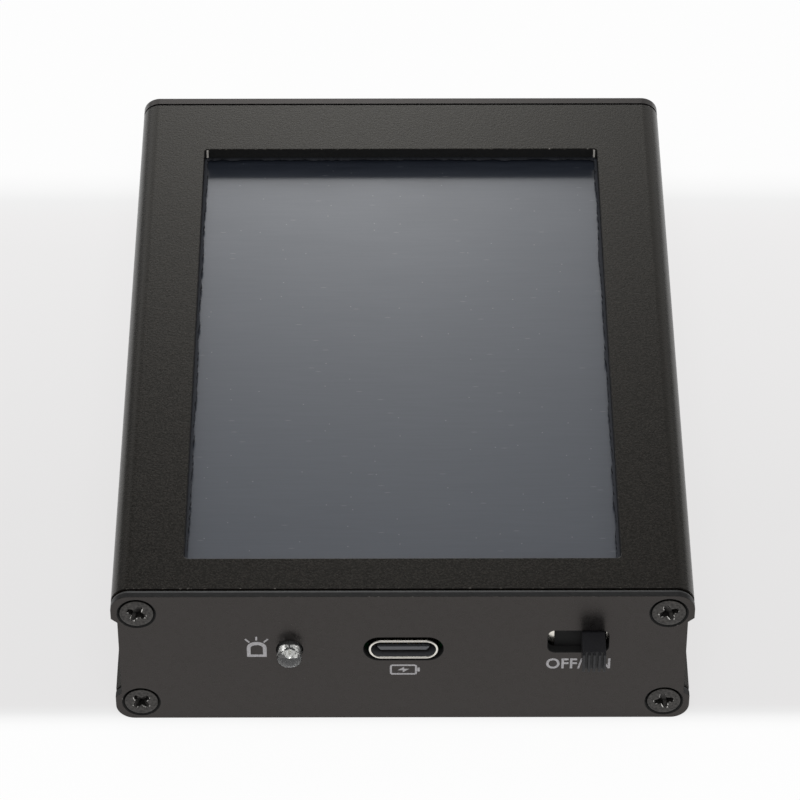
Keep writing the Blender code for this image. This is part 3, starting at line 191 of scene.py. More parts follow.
finishes = {
    # Extruded aluminium, bead blasted and dyed black: nearly black itself, with a warm sheen and a
    # sparkle. Real pits are near 0.05 mm; they are drawn at 0.30 mm so that the grain shows.
    "blasted_anodise": surfaced(
        "blasted_black_anodised_aluminium", ("080705", "0e0c0a", "17130f"), (0.20, 0.32),
        grain=0.30 * MM, depth=0.018 * MM, texture={"Detail": 3.0, "Roughness": 0.7},
        settings={"Specular IOR Level": 0.365, "Specular Tint": srgb("fffaee")}
    ),
    # The same dye on rolled sheet, which stays smooth: an even satin with a blurred mirror image.
    "satin_anodise": surfaced(
        "satin_black_anodised_sheet", ("151414", "1a1919"), (0.26, 0.30),
        grain=0.9 * MM, depth=0.0002 * MM, settings={"IOR": 1.47, "Specular Tint": srgb("fff3ec")}
    ),
    # Broken edges rub through the dye in places, so they carry bright flecks half a millimetre long; the flecks
    # are also made bright as painted highlights for the edges' glints.
    "worn_edge_and_glints": surfaced(
        "worn_black_anodised_edge_and_painted_glints", ("1d1b19", "4a4743", "b4b0aa"), (0.34, 0.26),
        grain=0.55 * MM, depth=0.004 * MM, settings={"Metallic": 0.75}, texture={"Detail": 4.0},
        spread=(0.56, 0.78)
    ),
    # Faces that were milled, punched or countersunk before the dye stay rough: dull and dark.
    "cut_anodise": surfaced(
        "rough_cut_anodised_aluminium", ("191919", "202020"), (0.60, 0.75),
        grain=0.20 * MM, depth=0.002 * MM, settings={"Specular IOR Level": 0.2}
    ),
    # The sheet's sheared and tumbled edge, dyed with it: darker than its faces, glossier than a cut.
    "sheared_anodise": surfaced(
        "sheared_anodised_sheet_edge", ("0f0f0f", "151515"), (0.34, 0.42),
        grain=0.30 * MM, depth=0.002 * MM, settings={"Specular IOR Level": 0.26}
    ),
    # Painted highlight: a pale metal colour down the window's far corners, a bright line with fine streaks along
    # it, in place of the highlight on the corner's rounding.
    "painted_corner_highlight": surfaced(
        "painted_corner_highlight_metal", ("b5b0a8", "e6e2dc"), (0.40, 0.55),
        grain=0.12 * MM, depth=0.003 * MM, settings={"Metallic": 0.3}, stretch=(1, 1, 5)
    ),
    # Alloy steel screws, blackened hot in salts: a dark oily grey with a cloudy gloss. The lamp's leads take it
    # too, on their fronts and lower parts, as painted shade.
    "black_oxide_and_lead_shade": surfaced(
        "black_oxide_steel", ("333231", "4d4b49"), (0.28, 0.42),
        grain=0.35 * MM, depth=0.004 * MM, settings={"Metallic": 0.85}
    ),
    # Rims of the cross recess, where the driver rubs the oxide off: dark with bright specks.
    "rubbed_steel": surfaced(
        "rubbed_black_oxide_steel", ("2b2a29", "4d4b49", "e0deda"), (0.30, 0.24),
        grain=0.30 * MM, depth=0.004 * MM, settings=METAL, texture={"Detail": 4.0}, spread=(0.44, 0.58)
    ),
    # Stamped steel, bright nickel plated: nearly a mirror, softened by faint drawing lines.
    "bright_nickel": surfaced(
        "bright_nickel_plated_steel", ("d6d2ca", "e6e2da"), (0.14, 0.22),
        grain=0.20 * MM, depth=0.001 * MM, settings=METAL, stretch=(1, 6, 1)
    ),
    # Turned brass under hard gold: warm, with turning lines round the axis.
    "gold_on_brass": surfaced(
        "gold_plated_turned_brass", ("d2a24a", "e6bd69"), (0.18, 0.28),
        grain=0.16 * MM, depth=0.002 * MM, settings=METAL, stretch=(1, 8, 1)
    ),
    # Copper leads dipped in tin: pale grey and a little lumpy.
    "tinned_copper": surfaced(
        "tinned_copper_wire", ("b4b4b0", "d0d0cb"), (0.24, 0.40),
        grain=0.30 * MM, depth=0.006 * MM, settings=METAL
    ),
    # Glass-filled nylon, moulded in a spark-eroded tool: black with a fine even texture.
    "black_nylon": surfaced(
        "moulded_black_nylon", ("1c1c1e", "262628"), (0.34, 0.46),
        grain=0.12 * MM, depth=0.002 * MM, settings={"Specular IOR Level": 0.3}
    ),
    # The front of the socket's tongue, in grey nylon: plain and softly dull; the rest of the tongue takes a
    # darker grey as painted shade.
    "grey_nylon": surfaced(
        "moulded_grey_nylon", ("45464a", "545559"), (0.34, 0.46), grain=0.12 * MM, depth=0.002 * MM
    ),
    # The socket's throat, lined in a darker grey nylon: a soft floor under the tongue, not a mirror. The same
    # grey on the tongue's other faces is painted shade under the shell.
    "throat_nylon_and_tongue_shade": surfaced(
        "moulded_dark_grey_nylon_and_painted_tongue_shade", ("37383b", "424346"), (0.45, 0.6), grain=0.12 * MM, depth=0.002 * MM
    ),
    # Unfilled connector nylon, moulded: ivory, slightly waxy.
    "white_nylon": surfaced(
        "moulded_white_nylon", ("ddd8c8", "ece8db"), (0.38, 0.50),
        grain=0.40 * MM, depth=0.002 * MM,
        settings={"Subsurface Weight": 0.1, "Subsurface Scale": 0.5 * MM}
    ),
    # Turned fluoropolymer rod: chalky white with soft turning rings.
    "turned_ptfe": surfaced(
        "turned_ptfe", ("e4e4e0", "f2f2ee"), (0.34, 0.46),
        grain=0.25 * MM, depth=0.002 * MM, stretch=(1, 5, 1),
        settings={"Subsurface Weight": 0.15, "Subsurface Scale": 0.6 * MM}
    ),
    # Cast epoxy of a lamp: clear with a slight smoke, glossy, with faint flow waves in its skin.
    "clear_epoxy": surfaced(
        "cast_clear_epoxy", ("d8dada", "e0e1e1"), (0.01, 0.03),
        grain=1.2 * MM, depth=0.004 * MM, settings={"Transmission Weight": 0.96, "IOR": 1.55}
    ),
    # Stamped leadframe with a silver wash: very bright, slightly pebbled.
    "silvered_frame": surfaced(
        "silvered_leadframe", ("e2e1de", "f4f3f0"), (0.22, 0.34),
        grain=0.25 * MM, depth=0.004 * MM, settings=METAL
    ),
    # The lamp's crystal, sawn from a wafer: a pale, slightly matt cube.
    "lamp_crystal": surfaced(
        "lamp_crystal", ("dedcd2", "f0efe9"), (0.20, 0.30), grain=0.08 * MM, depth=0.001 * MM
    ),
    # Closed-cell foam, cut with a blade: dull dark grey, its cells of a third of a millimetre cut open.
    "black_foam": surfaced(
        "cut_closed_cell_foam", ("1c1d20", "36383d"), (0.85, 0.95),
        grain=0.32 * MM, depth=0.05 * MM, kind="ShaderNodeTexVoronoi", output="Distance",
        spread=(0.1, 0.6)
    ),
    # Stainless steel of the backlight's stamped tray: grey with rolling lines.
    "tray_steel": surfaced(
        "stamped_stainless_steel", ("9c9c9b", "b8b8b6"), (0.26, 0.36),
        grain=0.25 * MM, depth=0.001 * MM, settings=METAL, stretch=(1, 12, 1)
    ),
    # Polariser film on the panel glass: nearly black, violet grey, smooth.
    "polariser": surfaced(
        "polariser_film", ("0c0d12", "101118"), (0.10, 0.14),
        grain=3.0 * MM, depth=0.0005 * MM, settings={"IOR": 1.5}
    ),
    # Amber polyimide film over copper tracks: the tracks show as darker ribbons along it.
    "polyimide": surfaced(
        "amber_polyimide_film", ("a0540c", "c9822a"), (0.28, 0.36),
        grain=0.50 * MM, depth=0.02 * MM, kind="ShaderNodeTexWave",
        texture={"Distortion": 0.0, "Detail": 0.0}, spread=(0.3, 0.7)
    ),
    # Glass-epoxy board under green solder mask: copper areas under it read a tone lighter.
    "solder_mask": surfaced(
        "green_solder_mask_board", ("07301a", "0d4527", "0f5a31"), (0.24, 0.34),
        grain=1.1 * MM, depth=0.03 * MM, kind="ShaderNodeTexVoronoi", output="Distance",
        texture={"distance": "CHEBYCHEV"}, spread=(0.2, 0.7)
    ),
    # Transfer-moulded chip epoxy: charcoal with a fine matt grain.
    "chip_epoxy": surfaced(
        "moulded_chip_epoxy", ("1a1a1b", "262627"), (0.48, 0.62), grain=0.10 * MM, depth=0.003 * MM
    ),
    # Sintered ferrite: dark grey, dull, with pressed grains.
    "ferrite": surfaced(
        "sintered_ferrite", ("2b2a29", "454341"), (0.62, 0.76), grain=0.18 * MM, depth=0.008 * MM
    ),
    # Soft pouch of aluminium laminate: silver grey with wide shallow dents.
    "laminate_pouch": surfaced(
        "aluminium_laminate_pouch", ("9a9ca0", "b4b6ba"), (0.26, 0.38),
        grain=5.0 * MM, depth=0.15 * MM, settings={"Metallic": 0.7}
    ),
    # Extruded PVC insulation, red and black: slightly waxy, drawn along the wire.
    "red_pvc": surfaced(
        "red_pvc_insulation", ("8f1414", "a81d1a"), (0.34, 0.44), grain=0.6 * MM, depth=0.004 * MM
    ),
    "black_pvc": surfaced(
        "black_pvc_insulation", ("141414", "1f1f1f"), (0.34, 0.44), grain=0.6 * MM, depth=0.004 * MM
    ),
    # Screen-printed epoxy ink: light grey, flat, thinner in small spots.
    "printing_ink": surfaced(
        "grey_white_screen_ink", ("9e9c9e", "b0aeb0"), (0.55, 0.65), grain=0.20 * MM, depth=0.003 * MM
    ),
}

SMEAR_WIDTH = 9 * MM
SMEAR_HEIGHT = 0.004 * MM
WIPE_SPACING = 0.3 * MM
DUST_SPACING = 3.2 * MM
HAIR_SPACING = 6 * MM


def scattered(tree, spacing, stretch, radius, share, strength):
    """Small flat marks, one in a share of the cells of a pattern; radius is a part of the spacing."""
    flat = {"voronoi_dimensions": "2D", "Randomness": 1.0}
    cells = pattern(tree, spacing, "ShaderNodeTexVoronoi", flat, stretch)
    limits = {"From Min": radius, "From Max": radius / 2, "To Min": 0.0, "To Max": strength}
    near = add_node(tree, "ShaderNodeMapRange", limits, {"Value": cells.outputs["Distance"]})
    split = add_node(tree, "ShaderNodeSeparateColor", joins={"Color": cells.outputs["Color"]})
    rule = {"operation": "GREATER_THAN", 1: 1 - share}
    chosen = add_node(tree, "ShaderNodeMath", rule, {0: split.outputs["Red"]})
    both = {0: near.outputs["Result"], 1: chosen.outputs["Value"]}
    return add_node(tree, "ShaderNodeMath", {"operation": "MULTIPLY"}, both).outputs["Value"]


def make_touch_film():
    """Hard-coated resistive film over glass: dark, with a bluish mirror, smears and a few dust specks."""
    material, tree, shader = start_material(
        "hard_coated_touch_film", "23272f", 0.28,
        {
            "IOR": 1.90, "Specular Tint": srgb("ebf2ff"),
            "Coat Weight": 1.0, "Coat Roughness": 0.16, "Coat IOR": 1.66
        }
    )
    # Wiping smears, drawn out across the screen
    smears = pattern(tree, SMEAR_WIDTH, settings={"Detail": 5.0, "Roughness": 0.65}, stretch=(0.6, 1.4, 1))
    limits = {"From Min": 0.35, "From Max": 0.70, "To Min": 0.35, "To Max": 0.41}
    gloss = add_node(tree, "ShaderNodeMapRange", limits, {"Value": smears.outputs["Fac"]})
    tree.links.new(gloss.outputs["Result"], shader.inputs["Roughness"])
    # Dust of about 0.2 mm, and short hair scratches across the screen
    dust = scattered(tree, DUST_SPACING, (1, 1, 1), radius=0.034, share=0.26, strength=0.30)
    hairs = scattered(tree, HAIR_SPACING, (0.3, 2.5, 1), radius=0.026, share=0.80, strength=0.20)
    marks = add_node(tree, "ShaderNodeMath", {"operation": "MAXIMUM"}, {0: dust, 1: hairs})
    # Fine wiping lines
    wipes = pattern(tree, WIPE_SPACING, settings={"Detail": 2.0}, stretch=(0.05, 1, 1))
    stops = [(0.35, srgb("20242c")), (0.65, srgb("262a32"))]
    film = add_node(tree, "ShaderNodeValToRGB", {"stops": stops}, {"Fac": wipes.outputs["Fac"]})
    marked = add_node(
        tree, "ShaderNodeMix", {"data_type": "RGBA", 7: srgb("a8acb4")},
        {0: marks.outputs["Value"], 6: film.outputs["Color"]}
    )
    tree.links.new(marked.outputs[2], shader.inputs["Base Color"])
    height = {"Strength": 1.0, "Distance": SMEAR_HEIGHT}
    ripple = add_node(tree, "ShaderNodeBump", height, {"Height": smears.outputs["Fac"]})
    tree.links.new(ripple.outputs["Normal"], shader.inputs["Normal"])
    return material


finishes["touch_film"] = make_touch_film()


# Outlines


def arc(middle, radius, start, end, segments):
    points = []
    for step in range(segments + 1):
        angle = start + (end - start) * step / segments
        points.append((middle[0] + radius * math.cos(angle), middle[1] + radius * math.sin(angle)))
    return points


def circle(radius, segments=ROUND_STEPS):
    return arc((0, 0), radius, 0, 2 * math.pi, segments)[:-1]


def rounded_rectangle(half_u, half_v, radius, segments=CORNER_STEPS):
    """Points of a rectangle with round corners, counterclockwise about the origin."""
    points = []
    for turn, (sign_u, sign_v) in enumerate([(1, 1), (-1, 1), (-1, -1), (1, -1)]):
        middle = (sign_u * (half_u - radius), sign_v * (half_v - radius))
        points += arc(middle, radius, turn * math.pi / 2, (turn + 1) * math.pi / 2, segments)
    pairs = zip(points, points[1:] + points[:1])
    return [point for point, after in pairs if math.dist(point, after) > SAME_POINT]


def shifted(outline, u, v):
    return [(point[0] + u, point[1] + v) for point in outline]


def corner_outline():
    """Outer side of one half at +X, from its flat face to the waist, as (x, depth below the face)."""
    middle = (half_width - CORNER_RADIUS, CORNER_RADIUS)
    points = arc(middle, CORNER_RADIUS, -math.pi / 2, 0, 2 * CORNER_STEPS)
    return points + [(half_width, LUG_HEIGHT - LUG_SLOPE), (waist_x, LUG_HEIGHT)]


def channel_outline():
    """Open screw channel in a corner, from the side wall round to the flat wall."""
    middle = (screw_x, SCREW_FACE_INSET)
    leaves_side = math.acos((inner_x - screw_x) / boss_radius)
    meets_face = math.pi + math.asin((SCREW_FACE_INSET - FACE_WALL) / boss_radius)
    mouth_start = CHANNEL_MOUTH_MIDDLE - CHANNEL_MOUTH_HALF_ANGLE
    mouth_end = CHANNEL_MOUTH_MIDDLE + CHANNEL_MOUTH_HALF_ANGLE
    points = arc(middle, boss_radius, leaves_side, mouth_start, CORNER_STEPS)
    points += arc(middle, channel_hole_radius, mouth_start, mouth_end - 2 * math.pi, 3 * CORNER_STEPS)
    return points + arc(middle, boss_radius, mouth_end, meets_face, CORNER_STEPS)


def mirrored(right_side):
    return right_side + [(-u, v) for u, v in reversed(right_side)]


def bottom_section():
    side = corner_outline()
    side += [(waist_x, joint_z - GAP / 2), (lip_x, joint_z - GAP / 2)]
    side += [(lip_x, lip_top_z), (inner_x, lip_top_z)]
    rib_x = inner_x - BOARD_RIB_DEPTH
    for rib_top, rib_bottom in [(upper_rib_top_z, mounted_z), (board_bottom_z - GAP, lower_rib_bottom_z)]:
        side += [(inner_x, rib_top), (rib_x, rib_top), (rib_x, rib_bottom), (inner_x, rib_bottom)]
    return mirrored(side + channel_outline())


def top_section():
    side = [(x, top_z - depth) for x, depth in corner_outline()]
    side += [(waist_x, joint_gap_top), (lip_x + GAP, joint_gap_top)]
    side += [(lip_x + GAP, lip_top_z + GAP), (inner_x, lip_top_z + GAP)]
    side += [(x, top_z - depth) for x, depth in channel_outline()]
    return mirrored(side)


def plate_section():
    upper = [(x, top_z - depth) for x, depth in reversed(corner_outline())]
    return mirrored(corner_outline() + upper)


# Solids


def along_y(outline, y):
    return [(u, y, v) for u, v in outline]


def at_height(outline, z):
    return [(u, v, z) for u, v in outline]


def stacked(rings, closed=False):
    """Skin over rings of points: the first and last are filled, or joined to each other if closed."""
    build = bmesh.new()
    rows = [[build.verts.new(point) for point in ring] for ring in rings]
    pairs = list(zip(rows, rows[1:]))
    if closed:
        pairs.append((rows[-1], rows[0]))
    else:
        build.faces.new(rows[0])
        build.faces.new(rows[-1])
    for first, last in pairs:
        for index in range(len(first)):
            after = (index + 1) % len(first)
            build.faces.new((first[index], first[after], last[after], last[index]))
    return build


def turned(profile, segments=ROUND_STEPS, closed=False):
    """Solid turned about Z from (radius, height) points, with flat ends, or a ring if closed."""
    return stacked([at_height(circle(radius, segments), height) for radius, height in profile], closed)


def block(low, high):
    outline = [(low[0], low[1]), (high[0], low[1]), (high[0], high[1]), (low[0], high[1])]
    return stacked([at_height(outline, low[2]), at_height(outline, high[2])])


def placed(build, matrix):
    bmesh.ops.transform(build, matrix=matrix, verts=build.verts)
    return build


def at(place, turn=None):
    """Matrix that puts something drawn about the origin at a place, after turning it."""
    return Matrix.Translation(place) @ (turn or Matrix.Identity(4))


def facing_user(turn=0.0):
    """Rotation that points local Z out of the front plate."""
    return Matrix.Rotation(math.pi / 2, 4, "X") @ Matrix.Rotation(turn, 4, "Z")


def facing_away(turn=0.0):
    """Rotation that points local Z out of the rear plate."""
    return Matrix.Rotation(-math.pi / 2, 4, "X") @ Matrix.Rotation(turn, 4, "Z")


def linked(name, data, matrix=None):
    """New object of some data, in the scene."""
    made = bpy.data.objects.new(name, data)
    made.matrix_world = matrix or Matrix.Identity(4)
    bpy.context.scene.collection.objects.link(made)
    return made


def carve(build, *tools, operation="DIFFERENCE"):
    """Cut solids out of another, or join them to it, all in the same space."""
    blanks = []
    for part in (build, *tools):
        bmesh.ops.recalc_face_normals(part, faces=part.faces)
        mesh = bpy.data.meshes.new("blank")
        part.to_mesh(mesh)
        part.free()
        blanks.append(linked("blank", mesh))
    for tool in blanks[1:]:
        step = blanks[0].modifiers.new("cut", "BOOLEAN")
        step.operation = operation
        step.object = tool
        step.solver = "EXACT"
    result = bmesh.new()
    result.from_object(blanks[0], bpy.context.evaluated_depsgraph_get())
    for blank in blanks:
        mesh = blank.data
        bpy.data.objects.remove(blank)
        bpy.data.meshes.remove(mesh)
    return result


def joined(*builds):
    """Several builds in one, without cutting them."""
    build = bmesh.new()
    for part in builds:
        mesh = bpy.data.meshes.new("shape")
        part.to_mesh(mesh)
        part.free()
        build.from_mesh(mesh)
        bpy.data.meshes.remove(mesh)
    return build


def painted(build, look, chosen):
    """Give faces another of the piece's looks, where chosen says so of a face's middle and normal."""
    for face in build.faces:
        if chosen(face.calc_center_median(), face.normal):
            face.material_index = look
    return build


def break_edges(build, width, chosen=None, segments=3, material=-1):
    """Round the sharp outside edges of a solid, or those that are chosen; flats beside them stay flat."""
    bmesh.ops.dissolve_degenerate(build, dist=NO_LENGTH, edges=build.edges)
    bmesh.ops.recalc_face_normals(build, faces=build.faces)
    edges = [
        edge
        for edge in build.edges
        if edge.is_manifold
        and edge.is_convex
        and edge.calc_face_angle() > SMOOTH_ANGLE
        and (chosen is None or chosen(edge))
    ]
    made = bmesh.ops.bevel(
        build, geom=edges, offset=width, offset_type="OFFSET", segments=segments, profile=0.5,
        affect="EDGES", clamp_overlap=True, material=material, loop_slide=True
    )["faces"]
    fresh = set(made)
    for edge in {edge for face in made for edge in face.edges}:
        edge.smooth = all(face in fresh for face in edge.link_faces)
    return build


def scored(build, places):
    """Divide flat faces along lines of equal x, so that no face has a hole in it."""
    for x in places:
        everything = [*build.verts, *build.edges, *build.faces]
        bmesh.ops.bisect_plane(build, geom=everything, dist=NO_LENGTH, plane_co=(x, 0, 0), plane_no=(1, 0, 0))
    return build


def mesh_of(name, build):
    """Mesh of a build, with its many-sided faces cut into well shaped triangles."""
    bmesh.ops.recalc_face_normals(build, faces=build.faces)
    wide = [face for face in build.faces if len(face.verts) > 4]
    bmesh.ops.triangulate(build, faces=wide, quad_method="BEAUTY", ngon_method="BEAUTY")
    build.edges.index_update()
    borders = [edge.index for edge in build.edges if not edge.smooth]
    mesh = bpy.data.meshes.new(name)
    build.to_mesh(mesh)
    build.free()
    mesh.shade_smooth()
    mesh.set_sharp_from_angle(angle=SMOOTH_ANGLE)
    for index in borders:
        mesh.edges[index].use_edge_sharp = True
    return mesh


def piece(name, mesh, materials, nodes=(), body="case", matrix=None):
    """Show a mesh as a piece that rides on a body and stands for CAD nodes."""
    if isinstance(mesh, bmesh.types.BMesh):
        mesh = mesh_of(name, mesh)
    if not mesh.materials:
        for material in materials:
            mesh.materials.append(finishes[material])
    made = linked(name, mesh, matrix)
    evened = made.modifiers.new("even_shading", "WEIGHTED_NORMAL")
    evened.keep_sharp = True
    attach(made, body)
    if nodes:
        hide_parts(*nodes)
    return made


def centre_of(edge):
    return (edge.verts[0].co + edge.verts[1].co) / 2


def level_with(edge, axis, value, within=0.001 * MM):
    return all(abs(vert.co[axis] - value) < within for vert in edge.verts)


# Case

HIGHLIGHT_LINE_ANGLE = 66
HIGHLIGHT_LINE_SPREAD = 14
CORNER_TOLERANCE = 0.02 * MM
UPRIGHT = 0.1


def in_painted_highlight_line(middle, normal):
    """Whether a face is on the painted highlight line down a far corner of the window."""
    corner = (window_x - WINDOW_CORNER_RADIUS, window_far_y - WINDOW_CORNER_RADIUS)
    away = Vector((abs(middle.x), middle.y)) - Vector(corner)
    turn = math.degrees(math.atan2(away.y, away.x))
    on_corner = abs(away.length - WINDOW_CORNER_RADIUS) < CORNER_TOLERANCE
    return on_corner and abs(turn - HIGHLIGHT_LINE_ANGLE) < HIGHLIGHT_LINE_SPREAD


def on_window_wall(middle, normal):
    inside = abs(middle.x) < window_x + GAP and top_z - FACE_WALL < middle.z < top_z
    return inside and abs(normal.z) < UPRIGHT


def make_covers():
    """Two half extrusions with worn ends; the upper one has the milled window."""
    lower = stacked([along_y(bottom_section(), near_y), along_y(bottom_section(), far_y)])
    upper = stacked([along_y(top_section(), near_y), along_y(top_section(), far_y)])
    opening = shifted(rounded_rectangle(window_x, window_half_y, WINDOW_CORNER_RADIUS), 0, window_y)
    bottom, top = top_z - FACE_WALL - CUT_OVERRUN, top_z + CUT_OVERRUN
    upper = carve(upper, stacked([at_height(opening, bottom), at_height(opening, top)]))
    painted(upper, 3, on_window_wall)
    # A bright line down each far corner of the window: a painted highlight.
    painted(upper, 2, in_painted_highlight_line)

    def on_window_rim(edge):
        return level_with(edge, 2, top_z) and abs(centre_of(edge).y) < far_y - GAP

    def at_either_end(edge):
        return level_with(edge, 1, near_y) or level_with(edge, 1, far_y)

    break_edges(upper, BROKEN_EDGE, on_window_rim, material=1)
    looks = ("blasted_anodise", "worn_edge_and_glints", "painted_corner_highlight", "cut_anodise")
    halves = [("lower_case_half", lower, "bottom_cover"), ("upper_case_half", upper, "top_cover")]
    for name, half, node in halves:
        break_edges(half, BROKEN_EDGE, at_either_end, material=1)
        piece(name, half, looks, [node])


# What the end plates are cut for

SCREW_HEAD_RADIUS = 2.17 * MM
HEAD_CLEARANCE = 0.34 * MM
SOCKET_SIDE_CLEARANCE = 0.65 * MM
SOCKET_FACE_CLEARANCE = 0.40 * MM
LAMP_RADIUS = 1.58 * MM
LAMP_HOLE_CLEARANCE = 0.11 * MM
LEVER_WIDTH = 3.0 * MM
LEVER_TRAVEL = 3.2 * MM
LEVER_HEIGHT = 3.0 * MM
SLOT_END_CLEARANCE = 0.80 * MM
SLOT_FACE_CLEARANCE = 0.43 * MM
SLOT_SHIFT = 0.30 * MM
SLOT_CORNER_RADIUS = 1.0 * MM
JACK_THREAD_RADIUS = 3.175 * MM

socket_low, socket_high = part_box("socket_shell")
socket_x, _, socket_z = centre("socket_shell")
socket_half_u, _, socket_half_v = half_size("socket_shell")
lamp_front_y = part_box("status_lamp")[1][1]
lamp_x, _, lamp_z = centre("status_lamp")
switch_low, switch_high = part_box("switch_frame")
switch_x, _, switch_z = centre("switch_frame")
slot_x = switch_x - SLOT_SHIFT
jack_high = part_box("jack_body_right")[1]
jack_x = centre("jack_body_right")[0]
jack_z = centre("jack_nut_right")[2]

# End plates

MOUTH_LIP = 0.07 * MM
PLATE_FALL = 0.08 * MM
PLATE_FALL_WIDTH = 0.40 * MM
OUTLINE_MARGIN = 0.9 * MM
FLAT_FACING = 0.9
OPENINGS_LOW_Z = 5 * MM
OPENINGS_TOP_INSET = 3 * MM
PLATE_LOOKS = ("satin_anodise", "worn_edge_and_glints", "cut_anodise", "sheared_anodise")


def screw_places():
    heights = (SCREW_FACE_INSET, top_z - SCREW_FACE_INSET)
    return [(side * screw_x, height) for height in heights for side in (-1, 1)]


def countersinks(face_y, thickness, facing):
    """Cutting tools for a plate's screw holes."""
    hole = SCREW_SHANK_RADIUS + GAP
    mouth = SCREW_HEAD_RADIUS + HEAD_CLEARANCE
    profile = [
        (hole, -thickness - CUT_OVERRUN), (hole, hole - mouth), (mouth, 0), (mouth + CUT_OVERRUN, CUT_OVERRUN)
    ]
    return [placed(turned(profile), at((x, face_y, z), facing())) for x, z in screw_places()]


def through_plate(outline, x, z):
    """Tool that cuts an opening with a small chamfered lip; outline(wider) draws it that much wider."""
    steps = [
        (plate_back_y + CUT_OVERRUN, 0),
        (plate_front_y + MOUTH_LIP, 0),
        (plate_front_y, MOUTH_LIP),
        (plate_front_y - CUT_OVERRUN, MOUTH_LIP + CUT_OVERRUN),
    ]
    return stacked([along_y(shifted(outline(wider), x, z), y) for y, wider in steps])


def front_blank():
    """Front plate without its openings; its edge falls off a little towards the case."""
    step_y = plate_back_y - PLATE_FALL_WIDTH
    middle = top_z / 2
    narrower, lower = 1 - PLATE_FALL / half_width, 1 - PLATE_FALL / middle
    fallen = [(u * narrower, middle + (v - middle) * lower) for u, v in plate_section()]
    levels = [(plate_section(), plate_front_y), (plate_section(), step_y), (fallen, plate_back_y)]
    build = stacked([along_y(outline, y) for outline, y in levels])
    for edge in build.edges:
        edge.smooth = not level_with(edge, 1, step_y)
    build.normal_update()
    return painted(build, 3, lambda middle, normal: abs(normal.y) < FLAT_FACING)


def on_opening_wall(middle, normal):
    at_outline = min(half_width - abs(middle.x), middle.z, top_z - middle.z) < OUTLINE_MARGIN
    return abs(normal.y) < FLAT_FACING and not at_outline


def break_plate_edges(plate, levels, chosen):
    for y in levels:
        break_edges(plate, BROKEN_EDGE, lambda edge: level_with(edge, 1, y) and chosen(edge), material=1)


def make_front_plate():
    socket_u, socket_v = socket_half_u + SOCKET_SIDE_CLEARANCE, socket_half_v + SOCKET_FACE_CLEARANCE
    slot_u = (LEVER_WIDTH + LEVER_TRAVEL) / 2 + SLOT_END_CLEARANCE
    slot_v = LEVER_HEIGHT / 2 + SLOT_FACE_CLEARANCE

    def socket_opening(wider):
        return rounded_rectangle(socket_u + wider, socket_v + wider, socket_v + wider, 2 * CORNER_STEPS)

    def lamp_opening(wider):
        return circle(LAMP_RADIUS + LAMP_HOLE_CLEARANCE + wider)

    def slot(wider):
        return rounded_rectangle(slot_u + wider, slot_v + wider, SLOT_CORNER_RADIUS + wider)

    # The lips of the socket, the lamp and the slot have their own chamfer, so they aren't broken again
    def off_openings(edge):
        middle = centre_of(edge)
        return abs(middle.x) > screw_x or not OPENINGS_LOW_Z < middle.z < top_z - OPENINGS_TOP_INSET

    plate = carve(
        front_blank(),
        through_plate(socket_opening, socket_x, socket_z),
        through_plate(lamp_opening, lamp_x, lamp_z),
        through_plate(slot, slot_x, switch_z),
        *countersinks(plate_front_y, plate_back_y - plate_front_y, facing_user),
    )
    scored(plate, (-screw_x, lamp_x, socket_x, slot_x, screw_x))
    painted(plate, 2, on_opening_wall)
    break_plate_edges(plate, (plate_front_y, plate_back_y), off_openings)
    piece("front_end_plate", plate, PLATE_LOOKS, ["front_plate"])


def make_rear_plate():
    blank = stacked([along_y(plate_section(), rear_front_y), along_y(plate_section(), rear_back_y)])
    holes = []
    for side in (-1, 1):
        outline = shifted(circle(JACK_THREAD_RADIUS + GAP), side * jack_x, jack_z)
        ends = (rear_front_y - CUT_OVERRUN, rear_back_y + CUT_OVERRUN)
        holes.append(stacked([along_y(outline, y) for y in ends]))
    plate = carve(blank, *holes, *countersinks(rear_back_y, rear_back_y - rear_front_y, facing_away))
    scored(plate, (-screw_x, -jack_x, jack_x, screw_x))
    painted(plate, 2, on_opening_wall)
    break_plate_edges(plate, (rear_back_y, rear_front_y), lambda edge: True)
    piece("rear_end_plate", plate, PLATE_LOOKS, ["rear_plate"])


# Threads and screws

SCREW_LENGTH = 8.0 * MM
SCREW_TIP = 0.4 * MM
SCREW_PITCH = 0.45 * MM
SCREW_THREAD_DEPTH = 0.22 * MM
HEAD_LAND = 0.14 * MM
HEAD_EDGE = 0.06 * MM
RECESS_ARM = 1.25 * MM
RECESS_ARM_AT_DEPTH = 0.55 * MM
RECESS_TIP_HALF_WIDTH = 0.24 * MM
RECESS_ROOT_HALF_WIDTH = 0.44 * MM
RECESS_DEPTH = 0.90 * MM
RECESS_RIM = 0.09 * MM
THREAD_ROWS = 8
THREAD_FLAT_SHARE = 0.2
# How far each screw happens to be turned, in degrees: lower left, lower right, upper left, upper right
FRONT_TURNS = (43, 12, -27, 22)
REAR_TURNS = (35, -8, 60, 18)


def thread_rings(radius, pitch, depth, start, end, chamfer, segments):
    """Rings from start to end down a V thread with flat crests, chamfered at its end."""
    rows = round(abs(end - start) / pitch * THREAD_ROWS)
    rings = []
    for row in range(rows + 1):
        height = start + (end - start) * row / rows
        reach = min(radius, radius - chamfer + abs(end - height))
        run_out = min(1.0, abs(height - start) / pitch)
        ring = []
        for step in range(segments):
            turn = step / segments
            wave = abs(2 * ((height / pitch + turn) % 1) - 1)
            slope = (wave - THREAD_FLAT_SHARE) / (1 - 2 * THREAD_FLAT_SHARE)
            local = min(reach, radius - depth * run_out * min(1.0, max(0.0, slope)))
            angle = 2 * math.pi * turn
            ring.append((local * math.cos(angle), local * math.sin(angle), height))
        rings.append(ring)
    return rings


